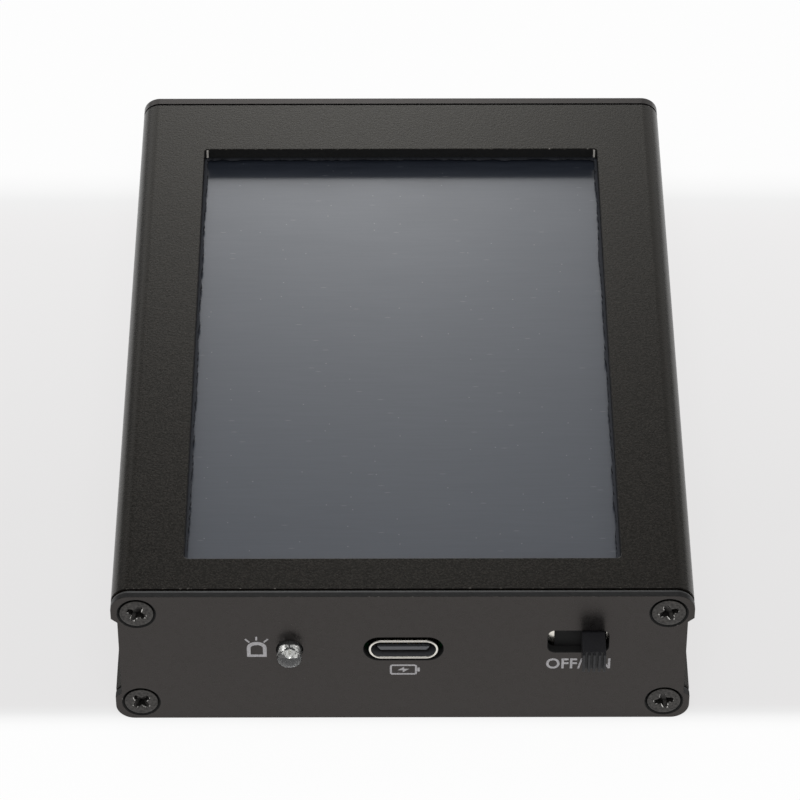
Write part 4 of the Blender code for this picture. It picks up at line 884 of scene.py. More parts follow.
def cross_outline(arm, tip, root):
    """Cross whose arms narrow from root to tip, both given as half widths."""
    points = []
    for turn in range(4):
        spin = Matrix.Rotation(turn * math.pi / 2, 2)
        points += [tuple(spin @ Vector(point)) for point in ((arm, -tip), (arm, tip), (root, root))]
    return points


def screw_mesh():
    """Countersunk cross-recess screw, head up at z = 0, with a cut thread."""
    neck = SCREW_SHANK_RADIUS - SCREW_HEAD_RADIUS - HEAD_LAND
    head = [
        (SCREW_HEAD_RADIUS - HEAD_EDGE, 0),
        (SCREW_HEAD_RADIUS - HEAD_EDGE / 3, -HEAD_EDGE / 3),
        (SCREW_HEAD_RADIUS, -HEAD_EDGE),
        (SCREW_HEAD_RADIUS, -HEAD_LAND),
        (SCREW_SHANK_RADIUS, neck),
    ]
    rings = [at_height(circle(radius, SMALL_STEPS), height) for radius, height in head]
    rings += thread_rings(
        SCREW_SHANK_RADIUS, SCREW_PITCH, SCREW_THREAD_DEPTH, neck - GAP, -SCREW_LENGTH, SCREW_TIP, SMALL_STEPS
    )
    recess = [
        (-RECESS_DEPTH, RECESS_ARM_AT_DEPTH, 0),
        (-RECESS_RIM, RECESS_ARM, 0),
        (0, RECESS_ARM + RECESS_RIM, RECESS_RIM),
        (CUT_OVERRUN, RECESS_ARM + RECESS_RIM, RECESS_RIM),
    ]
    cross = []
    for height, arm, wider in recess:
        outline = cross_outline(arm, RECESS_TIP_HALF_WIDTH + wider, RECESS_ROOT_HALF_WIDTH + wider)
        cross.append(at_height(outline, height))

    def on_recess_rim(middle, normal):
        return -RECESS_RIM < middle.z < 0 and middle.xy.length < RECESS_ARM + RECESS_RIM

    return mesh_of("cross_recess_screw", painted(carve(stacked(rings), stacked(cross)), 1, on_recess_rim))


def make_screws():
    mesh = screw_mesh()
    corners = ("lower_left", "lower_right", "upper_left", "upper_right")
    for end, y, facing, turns in [
        ("front", plate_front_y, facing_user, FRONT_TURNS),
        ("rear", rear_back_y, facing_away, REAR_TURNS),
    ]:
        for corner, (x, z), turn in zip(corners, screw_places(), turns):
            piece(
                f"{end}_machine_screw_{corner}", mesh, ("black_oxide_and_lead_shade", "rubbed_steel"), [f"{end}_screw_{corner}"],
                matrix=at((x, y, z), facing(math.radians(turn)))
            )


# Display

FOAM_STEP = 0.35 * MM
FOAM_RAGGEDNESS = 0.13 * MM
FOAM_DRIFT_KEPT = 0.55
FOAM_SEED = 11
GASKET_OVERHANG = 0.30 * MM
GASKET_FAR_OVERHANG = -0.50 * MM
GASKET_CORNER_STEPS = 3
FILM_SINK = 0.20 * MM
FILM_THICKNESS = 0.18 * MM
FILM_INSET = 0.25 * MM
GLASS_EDGE = 0.10 * MM


def ragged(outline, step, raggedness, seed):
    """The same outline in short steps, each end moved in or out a little as torn foam is."""
    chance = random.Random(seed)
    points, drift = [], 0.0
    for first, last in zip(outline, outline[1:] + outline[:1]):
        count = max(1, round(math.dist(first, last) / step))
        for index in range(count):
            point = Vector(first).lerp(Vector(last), index / count)
            drift = FOAM_DRIFT_KEPT * drift + chance.uniform(-1, 1) * raggedness
            across = Vector((first[1] - last[1], last[0] - first[0]))
            inward = -point.normalized() if count == 1 else across.normalized()
            points.append(tuple(point + inward * drift))
    return points


def make_window_gasket():
    """Foam frame under the window; its hole stops short of the window's far edge."""
    low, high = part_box("window_gasket")
    half_u, half_v, _ = half_size("window_gasket")
    ring = shifted(rounded_rectangle(half_u, half_v, WINDOW_CORNER_RADIUS), 0, centre("window_gasket")[1])
    hole_u = window_x - GASKET_OVERHANG
    hole_v = window_half_y - (GASKET_OVERHANG + GASKET_FAR_OVERHANG) / 2
    hole_y = window_y + (GASKET_OVERHANG - GASKET_FAR_OVERHANG) / 2
    hole = rounded_rectangle(hole_u, hole_v, WINDOW_CORNER_RADIUS, GASKET_CORNER_STEPS)
    hole = shifted(ragged(hole, FOAM_STEP, FOAM_RAGGEDNESS, FOAM_SEED), 0, hole_y)
    build = carve(
        stacked([at_height(ring, low[2] - FILM_SINK), at_height(ring, high[2])]),
        stacked([at_height(hole, low[2] - CUT_OVERRUN), at_height(hole, high[2] + CUT_OVERRUN)]),
    )
    piece("window_foam_frame", build, ("black_foam",), ["window_gasket"])


def make_touch_panel():
    """Glass with ground edges, and the film laid on it a little short of the edge."""
    low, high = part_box("touch_panel")
    half_u, half_v, _ = half_size("touch_panel")
    film_top = high[2] - FILM_SINK
    glass_top = film_top - FILM_THICKNESS
    steps = [
        (GLASS_EDGE, low[2]),
        (0, low[2] + GLASS_EDGE),
        (0, glass_top - GLASS_EDGE),
        (GLASS_EDGE, glass_top),
        (FILM_INSET, glass_top),
        (FILM_INSET, film_top - GLASS_EDGE / 2),
        (FILM_INSET + GLASS_EDGE / 2, film_top),
    ]
    rings = []
    for inset, height in steps:
        outline = rounded_rectangle(half_u - inset, half_v - inset, WINDOW_CORNER_RADIUS - inset / 2)
        rings.append(at_height(shifted(outline, 0, centre("touch_panel")[1]), height))
    piece("touch_screen", stacked(rings), ("touch_film",), ["touch_panel"])


# Charging socket

SOCKET_SHEET = 0.33 * MM
SOCKET_BASE_LENGTH = 1.6 * MM
TONGUE_WIDTH = 6.7 * MM
TONGUE_THICKNESS = 0.58 * MM
TONGUE_TAPER = 0.42 * MM
TONGUE_FORWARD = 0.15 * MM
CONTACT_COUNT = 12
CONTACT_PITCH = 0.50 * MM
CONTACT_WIDTH = 0.26 * MM
CONTACT_PROUD = 0.03 * MM
CONTACT_LENGTH = 3.4 * MM
CONTACT_SETBACK = 0.45 * MM
CONTACT_RAMP = 0.1 * MM
LIP_STEPS = 8


def make_socket_shell():
    """Drawn shell whose mouth is rolled round, with a lined throat."""
    lip = SOCKET_SHEET / 2
    levels = [(0, socket_high[1])]
    for step in range(LIP_STEPS + 1):
        angle = math.pi * step / LIP_STEPS
        levels.append((lip - lip * math.cos(angle), socket_low[1] + lip - lip * math.sin(angle)))
    levels.append((SOCKET_SHEET, socket_high[1]))
    rings = []
    for inset, y in levels:
        half_v = socket_half_v - inset
        outline = rounded_rectangle(socket_half_u - inset, half_v, half_v, 2 * CORNER_STEPS)
        rings.append(along_y(shifted(outline, socket_x, socket_z), y))

    def in_throat(middle, normal):
        across = max(abs(middle.x - socket_x) - (socket_half_u - socket_half_v), 0)
        inside = math.hypot(across, middle.z - socket_z) < socket_half_v - lip
        return inside and middle.y > socket_low[1] + SOCKET_SHEET

    shell = painted(stacked(rings, closed=True), 1, in_throat)
    looks = ("bright_nickel", "throat_nylon_and_tongue_shade")
    piece("charging_socket_shell", shell, looks, ["socket_shell"])


def make_socket_tongue():
    """Base in the back of the shell, and the tongue with its two rows of contacts."""
    low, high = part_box("socket_tongue")
    core_v = socket_half_v - SOCKET_SHEET - FINE_GAP
    core_u = socket_half_u - SOCKET_SHEET - FINE_GAP
    core = shifted(rounded_rectangle(core_u, core_v, core_v), socket_x, socket_z)
    base = stacked([along_y(core, high[1] - SOCKET_BASE_LENGTH), along_y(core, high[1])])
    front = low[1] - TONGUE_FORWARD
    wide, narrow, thick = TONGUE_WIDTH / 2, TONGUE_WIDTH / 2 - TONGUE_TAPER, TONGUE_THICKNESS / 2
    section = shifted([(-narrow, -thick), (narrow, -thick), (wide, thick), (-wide, thick)], socket_x, socket_z)
    blade = stacked([along_y(section, front), along_y(section, high[1] - SOCKET_BASE_LENGTH / 2)])
    # The tongue's faces behind its front take the darker grey: painted shade under the shell.
    painted(blade, 2, lambda middle, normal: middle.y > front + FINE_GAP)
    start = front + CONTACT_SETBACK
    contacts = []
    for index in range(CONTACT_COUNT):
        x = socket_x + (index - (CONTACT_COUNT - 1) / 2) * CONTACT_PITCH
        for side in (-1, 1):
            face = socket_z + side * thick
            bottom, top = sorted((face - side * CONTACT_PROUD, face + side * CONTACT_PROUD))
            strip = block(
                (x - CONTACT_WIDTH / 2, start, bottom), (x + CONTACT_WIDTH / 2, start + CONTACT_LENGTH, top)
            )
            for vert in strip.verts:
                if vert.co.y < start + FINE_GAP and (vert.co.z - socket_z) * side > thick:
                    vert.co.y += CONTACT_RAMP
            contacts.append(painted(strip, 1, lambda middle, normal: True))
    tongue = carve(base, blade, *contacts, operation="UNION")
    looks = ("grey_nylon", "gold_on_brass", "throat_nylon_and_tongue_shade")
    piece("charging_socket_tongue", tongue, looks, ["socket_tongue"])


# Status lamp

LAMP_FLANGE_RADIUS = 1.9 * MM
LAMP_FLANGE_THICKNESS = 1.0 * MM
LAMP_FLANGE_EDGE = 0.06 * MM
LAMP_FLANGE_CHAMFER = 0.12 * MM
LAMP_FOOT_WIDTH = 0.05 * MM
LAMP_FOOT_HEIGHT = 0.06 * MM
LAMP_COLLAR = 1.60 * MM
LAMP_DOME_HEIGHT = 0.62 * MM
LAMP_GROOVE = 0.20 * MM
LAMP_GROOVE_DEPTH = 0.05 * MM
DOME_STEPS = 16
DOME_SWEEP = 0.49 * math.pi

LEAD_HALF_THICKNESS = 0.20 * MM
LEAD_CREST = 0.60 * MM
LEAD_SLOPE_LENGTH = 0.90 * MM
LEAD_SETBACK = 0.75 * MM
LEAD_EDGE = 0.03 * MM
# Height of a lead end's crest, as a share of the highest, by distance from the lamp's centre line
LEAD_CREST_SHARES = [
    (0.025 * MM, 0.75), (0.30 * MM, 0.95), (0.45 * MM, 1.0), (0.80 * MM, 0.80), (1.05 * MM, 0.50),
    (1.25 * MM, 0.10)
]
# Where the sheared front of each lead keeps its silver, as distances from the centre line; the rest of the front
# is painted dark as painted shade
ANVIL_SILVER = (1.05 * MM, 1.25 * MM)
POST_SILVER = (0.45 * MM, 0.80 * MM)

CUP_RADIUS = 0.56 * MM
CUP_HEIGHT = 0.35 * MM
CUP_DEPTH = 0.10 * MM
CUP_FOOT_INSET = 0.15 * MM
CUP_BAND = 0.12 * MM
CUP_LIP = 0.05 * MM
CUP_FLOOR_INSET = 0.14 * MM
CUP_PROUD = 0.15 * MM
CUP_X, CUP_Y = 0.03 * MM, 0.43 * MM
DIE_HALF_WIDTH = 0.12 * MM
DIE_HEIGHT = 0.16 * MM
DIE_EDGE = 0.02 * MM
WIRE_RADIUS = 0.0125 * MM
WIRE_FOOT = 0.15 * MM
WIRE_RISE = 0.15 * MM
WIRE_END_X = 0.8 * MM


def lead_end(side, silver, front):
    """Upset end of one lead, whose top rises away from its sheared front."""
    thick = LEAD_HALF_THICKNESS
    rings = []
    for reach, share in LEAD_CREST_SHARES:
        crest = thick + share * (LEAD_CREST - thick)
        outline = [
            (-thick, -LAMP_FLANGE_THICKNESS),
            (-thick, front),
            (thick, front),
            (crest, front - LEAD_SLOPE_LENGTH),
            (thick, front - LEAD_SLOPE_LENGTH - crest),
            (thick, -LAMP_FLANGE_THICKNESS),
        ]
        rings.append([(side * reach, up, out) for up, out in outline])

    # Faces painted dark as painted shade: the sheared front outside its silver band, and the lead below its slope
    def in_painted_shade(middle, normal):
        sheared = middle.z > front - FINE_GAP and not silver[0] < abs(middle.x) < silver[1]
        return sheared or middle.z < front - LEAD_SLOPE_LENGTH

    return break_edges(painted(stacked(rings), 1, in_painted_shade), LEAD_EDGE)


def make_bond_wire(start, end, place):
    """Wire of round section, bowed a little between the crystal and the post."""
    curve = bpy.data.curves.new("lamp_bond_wire", "CURVE")
    curve.dimensions = "3D"
    curve.bevel_depth = WIRE_RADIUS
    curve.bevel_resolution = 3
    curve.use_fill_caps = True
    strand = curve.splines.new("POLY")
    strand.points.add(DOME_STEPS)
    for index, point in enumerate(strand.points):
        along = index / DOME_STEPS
        rise = WIRE_RISE * math.sin(math.pi * along)
        point.co = (*(start.lerp(end, along) + Vector((0, 0, rise))), 1)
    curve.materials.append(finishes["silvered_frame"])
    wire = linked("lamp_bond_wire", curve, place)
    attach(wire, "case")


def make_lamp():
    """Cast lamp with a dome, and the leadframe inside it: cup, post, crystal and bond wire."""
    dome_start = lamp_front_y - plate_front_y - LAMP_FLANGE_THICKNESS + LAMP_COLLAR
    dome = [
        (radius, dome_start + height * LAMP_DOME_HEIGHT / LAMP_RADIUS)
        for radius, height in arc((0, 0), LAMP_RADIUS, 0, DOME_SWEEP, DOME_STEPS)
    ]
    profile = [
        (LAMP_FLANGE_RADIUS - LAMP_FLANGE_EDGE, -LAMP_FLANGE_THICKNESS),
        (LAMP_FLANGE_RADIUS, -LAMP_FLANGE_THICKNESS + LAMP_FLANGE_EDGE),
        (LAMP_FLANGE_RADIUS, -LAMP_FLANGE_CHAMFER),
        (LAMP_FLANGE_RADIUS - LAMP_FLANGE_CHAMFER, 0),
        (LAMP_RADIUS + LAMP_FOOT_WIDTH, 0),
        (LAMP_RADIUS, LAMP_FOOT_HEIGHT),
        (LAMP_RADIUS, dome_start - LAMP_GROOVE),
        (LAMP_RADIUS - LAMP_GROOVE_DEPTH, dome_start - LAMP_GROOVE / 2),
        *dome,
    ]
    place = at((lamp_x, lamp_front_y - LAMP_FLANGE_THICKNESS, lamp_z), facing_user())
    looks = ("clear_epoxy",)
    piece("clear_status_lamp", turned(profile), looks, ["status_lamp"], matrix=place)
    lead_front = dome_start - LEAD_SETBACK
    cup_top = lead_front + CUP_PROUD
    cup_profile = [
        (CUP_RADIUS - CUP_FOOT_INSET, cup_top - CUP_HEIGHT),
        (CUP_RADIUS, cup_top - CUP_BAND),
        (CUP_RADIUS, cup_top),
        (CUP_RADIUS - CUP_LIP, cup_top),
        (CUP_RADIUS - CUP_FLOOR_INSET, cup_top - CUP_DEPTH),
    ]
    cup = placed(turned(cup_profile, SMALL_STEPS), at((CUP_X, CUP_Y, 0)))
    anvil = carve(lead_end(-1, ANVIL_SILVER, lead_front), cup, operation="UNION")
    post = lead_end(1, POST_SILVER, lead_front)
    floor_z = cup_top - CUP_DEPTH
    die = block(
        (CUP_X - DIE_HALF_WIDTH, CUP_Y - DIE_HALF_WIDTH, floor_z),
        (CUP_X + DIE_HALF_WIDTH, CUP_Y + DIE_HALF_WIDTH, floor_z + DIE_HEIGHT),
    )
    # The leads' second look is the dark steel finish, used as painted shade
    lead_looks = ("silvered_frame", "black_oxide_and_lead_shade")
    for name, build, looks in [
        ("lamp_reflector_cup", anvil, lead_looks),
        ("lamp_post", post, lead_looks),
        ("lamp_die", break_edges(die, DIE_EDGE), ("lamp_crystal",)),
    ]:
        piece(name, build, looks, matrix=place)
    start = Vector((CUP_X, CUP_Y, floor_z + WIRE_FOOT))
    make_bond_wire(start, Vector((WIRE_END_X, 0, lead_front)), place)


# Slide switch

SWITCH_SHEET = 0.40 * MM
SWITCH_FOLD_RADIUS = 0.35 * MM
SWITCH_FOLD_STEPS = 4
LEVER_END_CLEARANCE = 0.15 * MM
LEVER_RIB_COUNT = 5
LEVER_RIB_DEPTH = 0.55 * MM
RIB_EDGE = 0.07 * MM
SHOULDER_REACH = 4.9 * MM
SHOULDER_CLEARANCE = 0.09 * MM
SHOULDER_HALF_HEIGHT = 2.1 * MM
SLIDER_MARGIN = 1.8 * MM


def make_switch_frame():
    """Folded sheet frame, open at the back, with a slot for the lever."""
    low, high = Vector(switch_low), Vector(switch_high)
    shell = block(low, high)
    break_edges(shell, SWITCH_FOLD_RADIUS, lambda edge: not level_with(edge, 1, high.y), SWITCH_FOLD_STEPS)
    sheet = Vector((SWITCH_SHEET, SWITCH_SHEET, SWITCH_SHEET))
    hollow = block(low + sheet, Vector((high.x, high.y + CUT_OVERRUN + SWITCH_SHEET, high.z)) - sheet)
    slot_u = (LEVER_WIDTH + LEVER_TRAVEL) / 2 + LEVER_END_CLEARANCE
    slot_v = LEVER_HEIGHT / 2 + GAP
    slot = block(
        (switch_x - slot_u, low.y - CUT_OVERRUN, switch_z - slot_v),
        (switch_x + slot_u, low.y + SWITCH_SHEET + CUT_OVERRUN, switch_z + slot_v),
    )
    build = carve(shell, hollow, slot)
    break_edges(build, STAMPED_EDGE, lambda edge: level_with(edge, 1, low.y), segments=2)
    piece("slide_switch_frame", build, ("bright_nickel",), ["switch_frame"])


def make_switch_lever():
    """Ribbed lever on its slider, with a dark shoulder that covers the slot beside it."""
    low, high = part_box("switch_lever")
    lever_x = centre("switch_lever")[0]
    slider_front_y = switch_low[1] + SWITCH_SHEET + GAP
    half = LEVER_WIDTH / 2
    slider_half = half + SLIDER_MARGIN
    ribs = 2 * LEVER_RIB_COUNT - 1
    outline = [(-slider_half, high[1]), (-slider_half, slider_front_y), (-half, slider_front_y)]
    for index in range(ribs):
        y = low[1] if index % 2 == 0 else low[1] + LEVER_RIB_DEPTH
        left = -half + LEVER_WIDTH * index / ribs
        outline += [(left, y), (left + LEVER_WIDTH / ribs, y)]
    outline += [(half, slider_front_y), (slider_half, slider_front_y), (slider_half, high[1])]
    outline = shifted(outline, lever_x, 0)
    ribbed = break_edges(stacked([at_height(outline, low[2]), at_height(outline, high[2])]), RIB_EDGE)
    shoulder = block(
        (lever_x - SHOULDER_REACH, plate_back_y + SHOULDER_CLEARANCE, switch_z - SHOULDER_HALF_HEIGHT),
        (lever_x + half, switch_low[1] - SHOULDER_CLEARANCE, switch_z + SHOULDER_HALF_HEIGHT),
    )
    lever = carve(ribbed, shoulder, operation="UNION")
    painted(lever, 1, lambda middle, normal: middle.y > plate_back_y)
    looks = ("black_nylon", "cut_anodise")
    piece("slide_switch_lever", lever, looks, ["switch_lever"], body="switch")


# Signal jacks

JACK_PITCH = 0.7056 * MM
JACK_THREAD_DEPTH = 0.36 * MM
JACK_THREAD_CHAMFER = 0.4 * MM
JACK_MOUTH_RADIUS = 2.3 * MM
JACK_MOUTH_DEPTH = 2.0 * MM
JACK_MOUTH_CHAMFER = 0.2 * MM
JACK_FLANGE_THICKNESS = 1.6 * MM
JACK_FLANGE_HEIGHT = 7.6 * MM
JACK_FLANGE_EDGE = 0.15 * MM
JACK_LEG_SIZE = 1.0 * MM
JACK_LEG_LENGTH = 4.0 * MM
INSULATOR_RADIUS = 2.0 * MM
INSULATOR_EDGE = 0.08 * MM
JACK_CONTACT_RADIUS = 0.64 * MM
JACK_CONTACT_EDGE = 0.08 * MM
JACK_CONTACT_BORE_RADIUS = 0.45 * MM
JACK_CONTACT_BORE_DEPTH = 3.0 * MM
JACK_CONTACT_SLIT = 0.16 * MM
TAIL_RADIUS = 0.4 * MM
TAIL_LENGTH = 3.0 * MM
TAIL_EDGE = 0.05 * MM
WASHER_TEETH = 9
WASHER_TOOTH_STEPS = 8
WASHER_TOOTH_SHARE = 0.62
WASHER_TWIST = 0.22 * MM
WASHER_ROOT_RELIEF = 0.05 * MM
WASHER_FACE_INSET = 0.14 * MM
NUT_ACROSS_FLATS = 8.0 * MM
NUT_CHAMFER = 0.4 * MM
NUT_BORE_CHAMFER = 0.25 * MM
NUT_EDGE = 0.05 * MM


def jack_body_mesh():
    """Flange with four legs, and a threaded barrel whose mouth is chamfered."""
    tip = jack_high[1] - far_y
    back = -JACK_FLANGE_THICKNESS
    rings = [at_height(circle(JACK_THREAD_RADIUS), back / 2)]
    rings += thread_rings(
        JACK_THREAD_RADIUS, JACK_PITCH, JACK_THREAD_DEPTH, 0, tip, JACK_THREAD_CHAMFER, ROUND_STEPS
    )
    half_u, half_v = half_size("jack_body_right")[0], JACK_FLANGE_HEIGHT / 2
    flange = break_edges(block((-half_u, -half_v, back), (half_u, half_v, 0)), JACK_FLANGE_EDGE)
    half = JACK_LEG_SIZE / 2
    legs = []
    for level, away in ((mounted_z - jack_z, 1), (board_bottom_z - GAP - jack_z, -1)):
        v = level + away * half
        for side in (-1, 1):
            u = side * (half_u - half)
            leg = block((u - half, -v - half, back - JACK_LEG_LENGTH), (u + half, -v + half, back / 2))
            legs.append(break_edges(leg, STAMPED_EDGE))
    body = carve(stacked(rings), flange, *legs, operation="UNION")
    bore_radius = INSULATOR_RADIUS + FINE_GAP
    bore = [
        (bore_radius, back - CUT_OVERRUN),
        (bore_radius, tip - JACK_MOUTH_DEPTH),
        (JACK_MOUTH_RADIUS, tip - JACK_MOUTH_DEPTH),
        (JACK_MOUTH_RADIUS, tip - JACK_MOUTH_CHAMFER),
        (JACK_MOUTH_RADIUS + JACK_MOUTH_CHAMFER, tip),
        (JACK_MOUTH_RADIUS + JACK_MOUTH_CHAMFER, tip + CUT_OVERRUN),
    ]
    return mesh_of("threaded_jack_body", carve(body, turned(bore)))


def washer_mesh():
    """Lock washer: a flat ring with twisted inner teeth."""
    outer, half_thickness, _ = half_size("jack_washer_right")
    inner = JACK_THREAD_RADIUS + FINE_GAP
    root = (inner + outer) / 2
    build = bmesh.new()
    steps = WASHER_TEETH * WASHER_TOOTH_STEPS
    rows = []
    for step in range(steps):
        angle = 2 * math.pi * step / steps
        share = (step % WASHER_TOOTH_STEPS) / WASHER_TOOTH_STEPS
        in_tooth = share < WASHER_TOOTH_SHARE
        reach = inner if in_tooth else root - WASHER_ROOT_RELIEF
        twist = (share / WASHER_TOOTH_SHARE - 0.5) * WASHER_TWIST if in_tooth else 0.0
        row = []
        for radius, lift in ((outer, 0.0), (root, 0.0), (reach, twist)):
            for height in (WASHER_FACE_INSET, 2 * half_thickness - WASHER_FACE_INSET):
                place = (radius * math.cos(angle), radius * math.sin(angle), height + lift)
                row.append(build.verts.new(place))
        rows.append(row)
    for row, after in zip(rows, rows[1:] + rows[:1]):
        for first, last in ((0, 2), (2, 4), (4, 5), (5, 3), (3, 1), (1, 0)):
            build.faces.new((row[first], row[last], after[last], after[first]))
    return mesh_of("toothed_lock_washer", build)


def nut_mesh():
    """Hexagon nut with chamfered corners and a chamfered bore."""
    thickness = 2 * half_size("jack_nut_right")[1]
    flat = NUT_ACROSS_FLATS / 2
    corner = flat / math.cos(math.pi / 6)
    widest = corner + FINE_GAP
    hexagon = stacked([at_height(circle(corner, 6), height) for height in (0, thickness)])
    levels = [(flat, 0), (widest, NUT_CHAMFER), (widest, thickness - NUT_CHAMFER), (flat, thickness)]
    chamfered = turned(levels)
    nut = carve(hexagon, chamfered, operation="INTERSECT")
    break_edges(nut, NUT_EDGE, segments=2)
    hole = JACK_THREAD_RADIUS + FINE_GAP
    mouth = hole + NUT_BORE_CHAMFER
    bore = [
        (mouth, -CUT_OVERRUN),
        (mouth, 0),
        (hole, NUT_BORE_CHAMFER),
        (hole, thickness - NUT_BORE_CHAMFER),
        (mouth, thickness),
        (mouth, thickness + CUT_OVERRUN),
    ]
    return mesh_of("chamfered_jack_nut", carve(nut, turned(bore)))


def jack_contact_mesh():
    """Centre socket with four slits in its spring end, and a solder tail."""
    front = jack_high[1] - far_y - JACK_MOUTH_DEPTH
    back = -JACK_FLANGE_THICKNESS
    profile = [
        (TAIL_RADIUS - TAIL_EDGE, back - TAIL_LENGTH),
        (TAIL_RADIUS, back - TAIL_LENGTH + TAIL_EDGE),
        (TAIL_RADIUS, back),
        (JACK_CONTACT_RADIUS, back),
        (JACK_CONTACT_RADIUS, front - JACK_CONTACT_EDGE),
        (JACK_CONTACT_RADIUS - JACK_CONTACT_EDGE, front),
        (JACK_CONTACT_BORE_RADIUS, front),
        (JACK_CONTACT_BORE_RADIUS, front - JACK_CONTACT_BORE_DEPTH),
    ]
    half = JACK_CONTACT_SLIT / 2
    reach = JACK_CONTACT_RADIUS + CUT_OVERRUN
    bottom, top = front - JACK_CONTACT_BORE_DEPTH / 2, front + CUT_OVERRUN
    slits = [block((-u, -v, bottom), (u, v, top)) for u, v in ((reach, half), (half, reach))]
    return mesh_of("slit_jack_contact", carve(turned(profile, SMALL_STEPS), *slits))


def jack_insulator_mesh(length):
    """Turned sleeve with every edge broken."""
    bore = JACK_CONTACT_RADIUS + FINE_GAP
    edge = INSULATOR_EDGE
    profile = [
        (INSULATOR_RADIUS - edge, 0),
        (INSULATOR_RADIUS, edge),
        (INSULATOR_RADIUS, length - edge),
        (INSULATOR_RADIUS - edge, length),
        (bore + edge, length),
        (bore, length - edge),
        (bore, edge),
        (bore + edge, 0),
    ]
    return mesh_of("turned_jack_insulator", turned(profile, closed=True))


def make_jacks():
    insulator_low, insulator_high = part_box("jack_insulator_right")
    length = insulator_high[1] - insulator_low[1]
    parts = [
        ("threaded_jack", jack_body_mesh(), "jack_body", far_y),
        ("jack_sleeve", jack_insulator_mesh(length), "jack_insulator", insulator_low[1]),
        ("jack_socket_contact", jack_contact_mesh(), "jack_contact", far_y),
        ("jack_lock_washer", washer_mesh(), "jack_washer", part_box("jack_washer_right")[0][1]),
        ("jack_hex_nut", nut_mesh(), "jack_nut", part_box("jack_nut_right")[0][1]),
    ]
    for side, name in [(-1, "left"), (1, "right")]:
        for label, mesh, node, y in parts:
            sleeve = node == "jack_insulator"
            look, slot = ("turned_ptfe", "ptfe") if sleeve else ("gold_on_brass", "gold_plated_brass")
            place = at((side * jack_x, y, jack_z), facing_away())
            piece(f"{label}_{name}", mesh, (look,), [f"{node}_{name}"], matrix=place)


# Printing on the front plate

INK_THICKNESS = 0.015 * MM
SWITCH_WORDS = "OFF/ON"
SWITCH_WORDS_BOLDER = 0.022
SWITCH_WORDS_SPACING = 1.05
SWITCH_WORDS_LOW, SWITCH_WORDS_HIGH = (18.46 * MM, 9.02 * MM), (26.71 * MM, 10.87 * MM)

BEACON_X, BEACON_BOTTOM_Z, BEACON_TOP_Z = -18.72 * MM, 11.25 * MM, 13.94 * MM
BEACON_HALF_WIDTH = 1.27 * MM
BEACON_SIDE_STROKE, BEACON_TOP_STROKE, BEACON_FOOT_STROKE = 0.48 * MM, 0.56 * MM, 0.42 * MM
BEACON_SHOULDER = 1.05 * MM
BEACON_RAY_STROKE = 0.24 * MM
BEACON_RAYS = [
    ((-18.74 * MM, 14.22 * MM), (-18.74 * MM, 14.88 * MM)),
    ((-19.64 * MM, 13.86 * MM), (-20.18 * MM, 14.46 * MM)),
    ((-17.80 * MM, 13.86 * MM), (-17.26 * MM, 14.46 * MM)),
]

BATTERY_MARK_PLACE = (0.10 * MM, 8.88 * MM)
BATTERY_MARK_HALF_U, BATTERY_MARK_HALF_V = 1.75 * MM, 0.92 * MM
BATTERY_MARK_STROKE = 0.26 * MM
BATTERY_MARK_CORNER, BATTERY_MARK_INNER_CORNER = 0.35 * MM, 0.12 * MM
TERMINAL_HALF_U, TERMINAL_HALF_V = 0.16 * MM, 0.36 * MM
TERMINAL_CORNER = 0.08 * MM
TERMINAL_OFFSET = 0.20 * MM
BOLT_HALF_WIDTH, BOLT_HALF_HEIGHT = 0.75 * MM, 0.50 * MM
BOLT_TIP_X, BOLT_NOTCH_X, BOLT_NOTCH_Z = 0.10 * MM, 0.08 * MM, 0.12 * MM


def inked(name, build):
    piece(name, build, ("printing_ink",))


def ink_block(outlines):
    """Printed shapes, as outlines in (x, z), raised a hair's breadth off the plate."""
    levels = (plate_front_y - INK_THICKNESS, plate_front_y)
    return joined(*[stacked([along_y(outline, y) for y in levels]) for outline in outlines])


def bar(start, end, width):
    """Outline of a straight printed bar between two points."""
    start, end = Vector(start), Vector(end)
    across = (end - start).orthogonal().normalized() * width / 2
    return [tuple(start + across), tuple(end + across), tuple(end - across), tuple(start - across)]


def printed_frame(outer, inner):
    face, top = plate_front_y, plate_front_y - INK_THICKNESS
    corners = [(outer, face), (outer, top), (inner, top), (inner, face)]
    return stacked([along_y(outline, y) for outline, y in corners], closed=True)


def make_switch_words():
    """OFF and ON under the switch, in plain sans lettering fitted to their place."""
    text = bpy.data.curves.new("switch_words", "FONT")
    text.body = SWITCH_WORDS
    text.extrude = 0.5
    text.space_character = SWITCH_WORDS_SPACING
    text.offset = SWITCH_WORDS_BOLDER
    source = linked("switch_words_source", text)
    graph = bpy.context.evaluated_depsgraph_get()
    build = bmesh.new()
    build.from_mesh(bpy.data.meshes.new_from_object(source.evaluated_get(graph)))
    bpy.data.objects.remove(source)
    low = [min(vert.co[axis] for vert in build.verts) for axis in (0, 1)]
    high = [max(vert.co[axis] for vert in build.verts) for axis in (0, 1)]
    for vert in build.verts:
        shares = [(vert.co[axis] - low[axis]) / (high[axis] - low[axis]) for axis in (0, 1)]
        x, z = [
            first + share * (last - first)
            for first, last, share in zip(SWITCH_WORDS_LOW, SWITCH_WORDS_HIGH, shares)
        ]
        vert.co = (x, plate_front_y - INK_THICKNESS * (vert.co.z + text.extrude), z)
    bmesh.ops.remove_doubles(build, verts=build.verts, dist=SAME_POINT)
    inked("switch_words", build)


def dome_outline(half, bottom, top, shoulder):
    """Outline of a dome: straight sides, with an elliptical top that starts a shoulder below it."""
    points = [(half, bottom)]
    for step in range(DOME_STEPS + 1):
        angle = math.pi * step / DOME_STEPS
        points.append((half * math.cos(angle), top - shoulder + shoulder * math.sin(angle)))
    points.append((-half, bottom))
    return shifted(points, BEACON_X, 0)


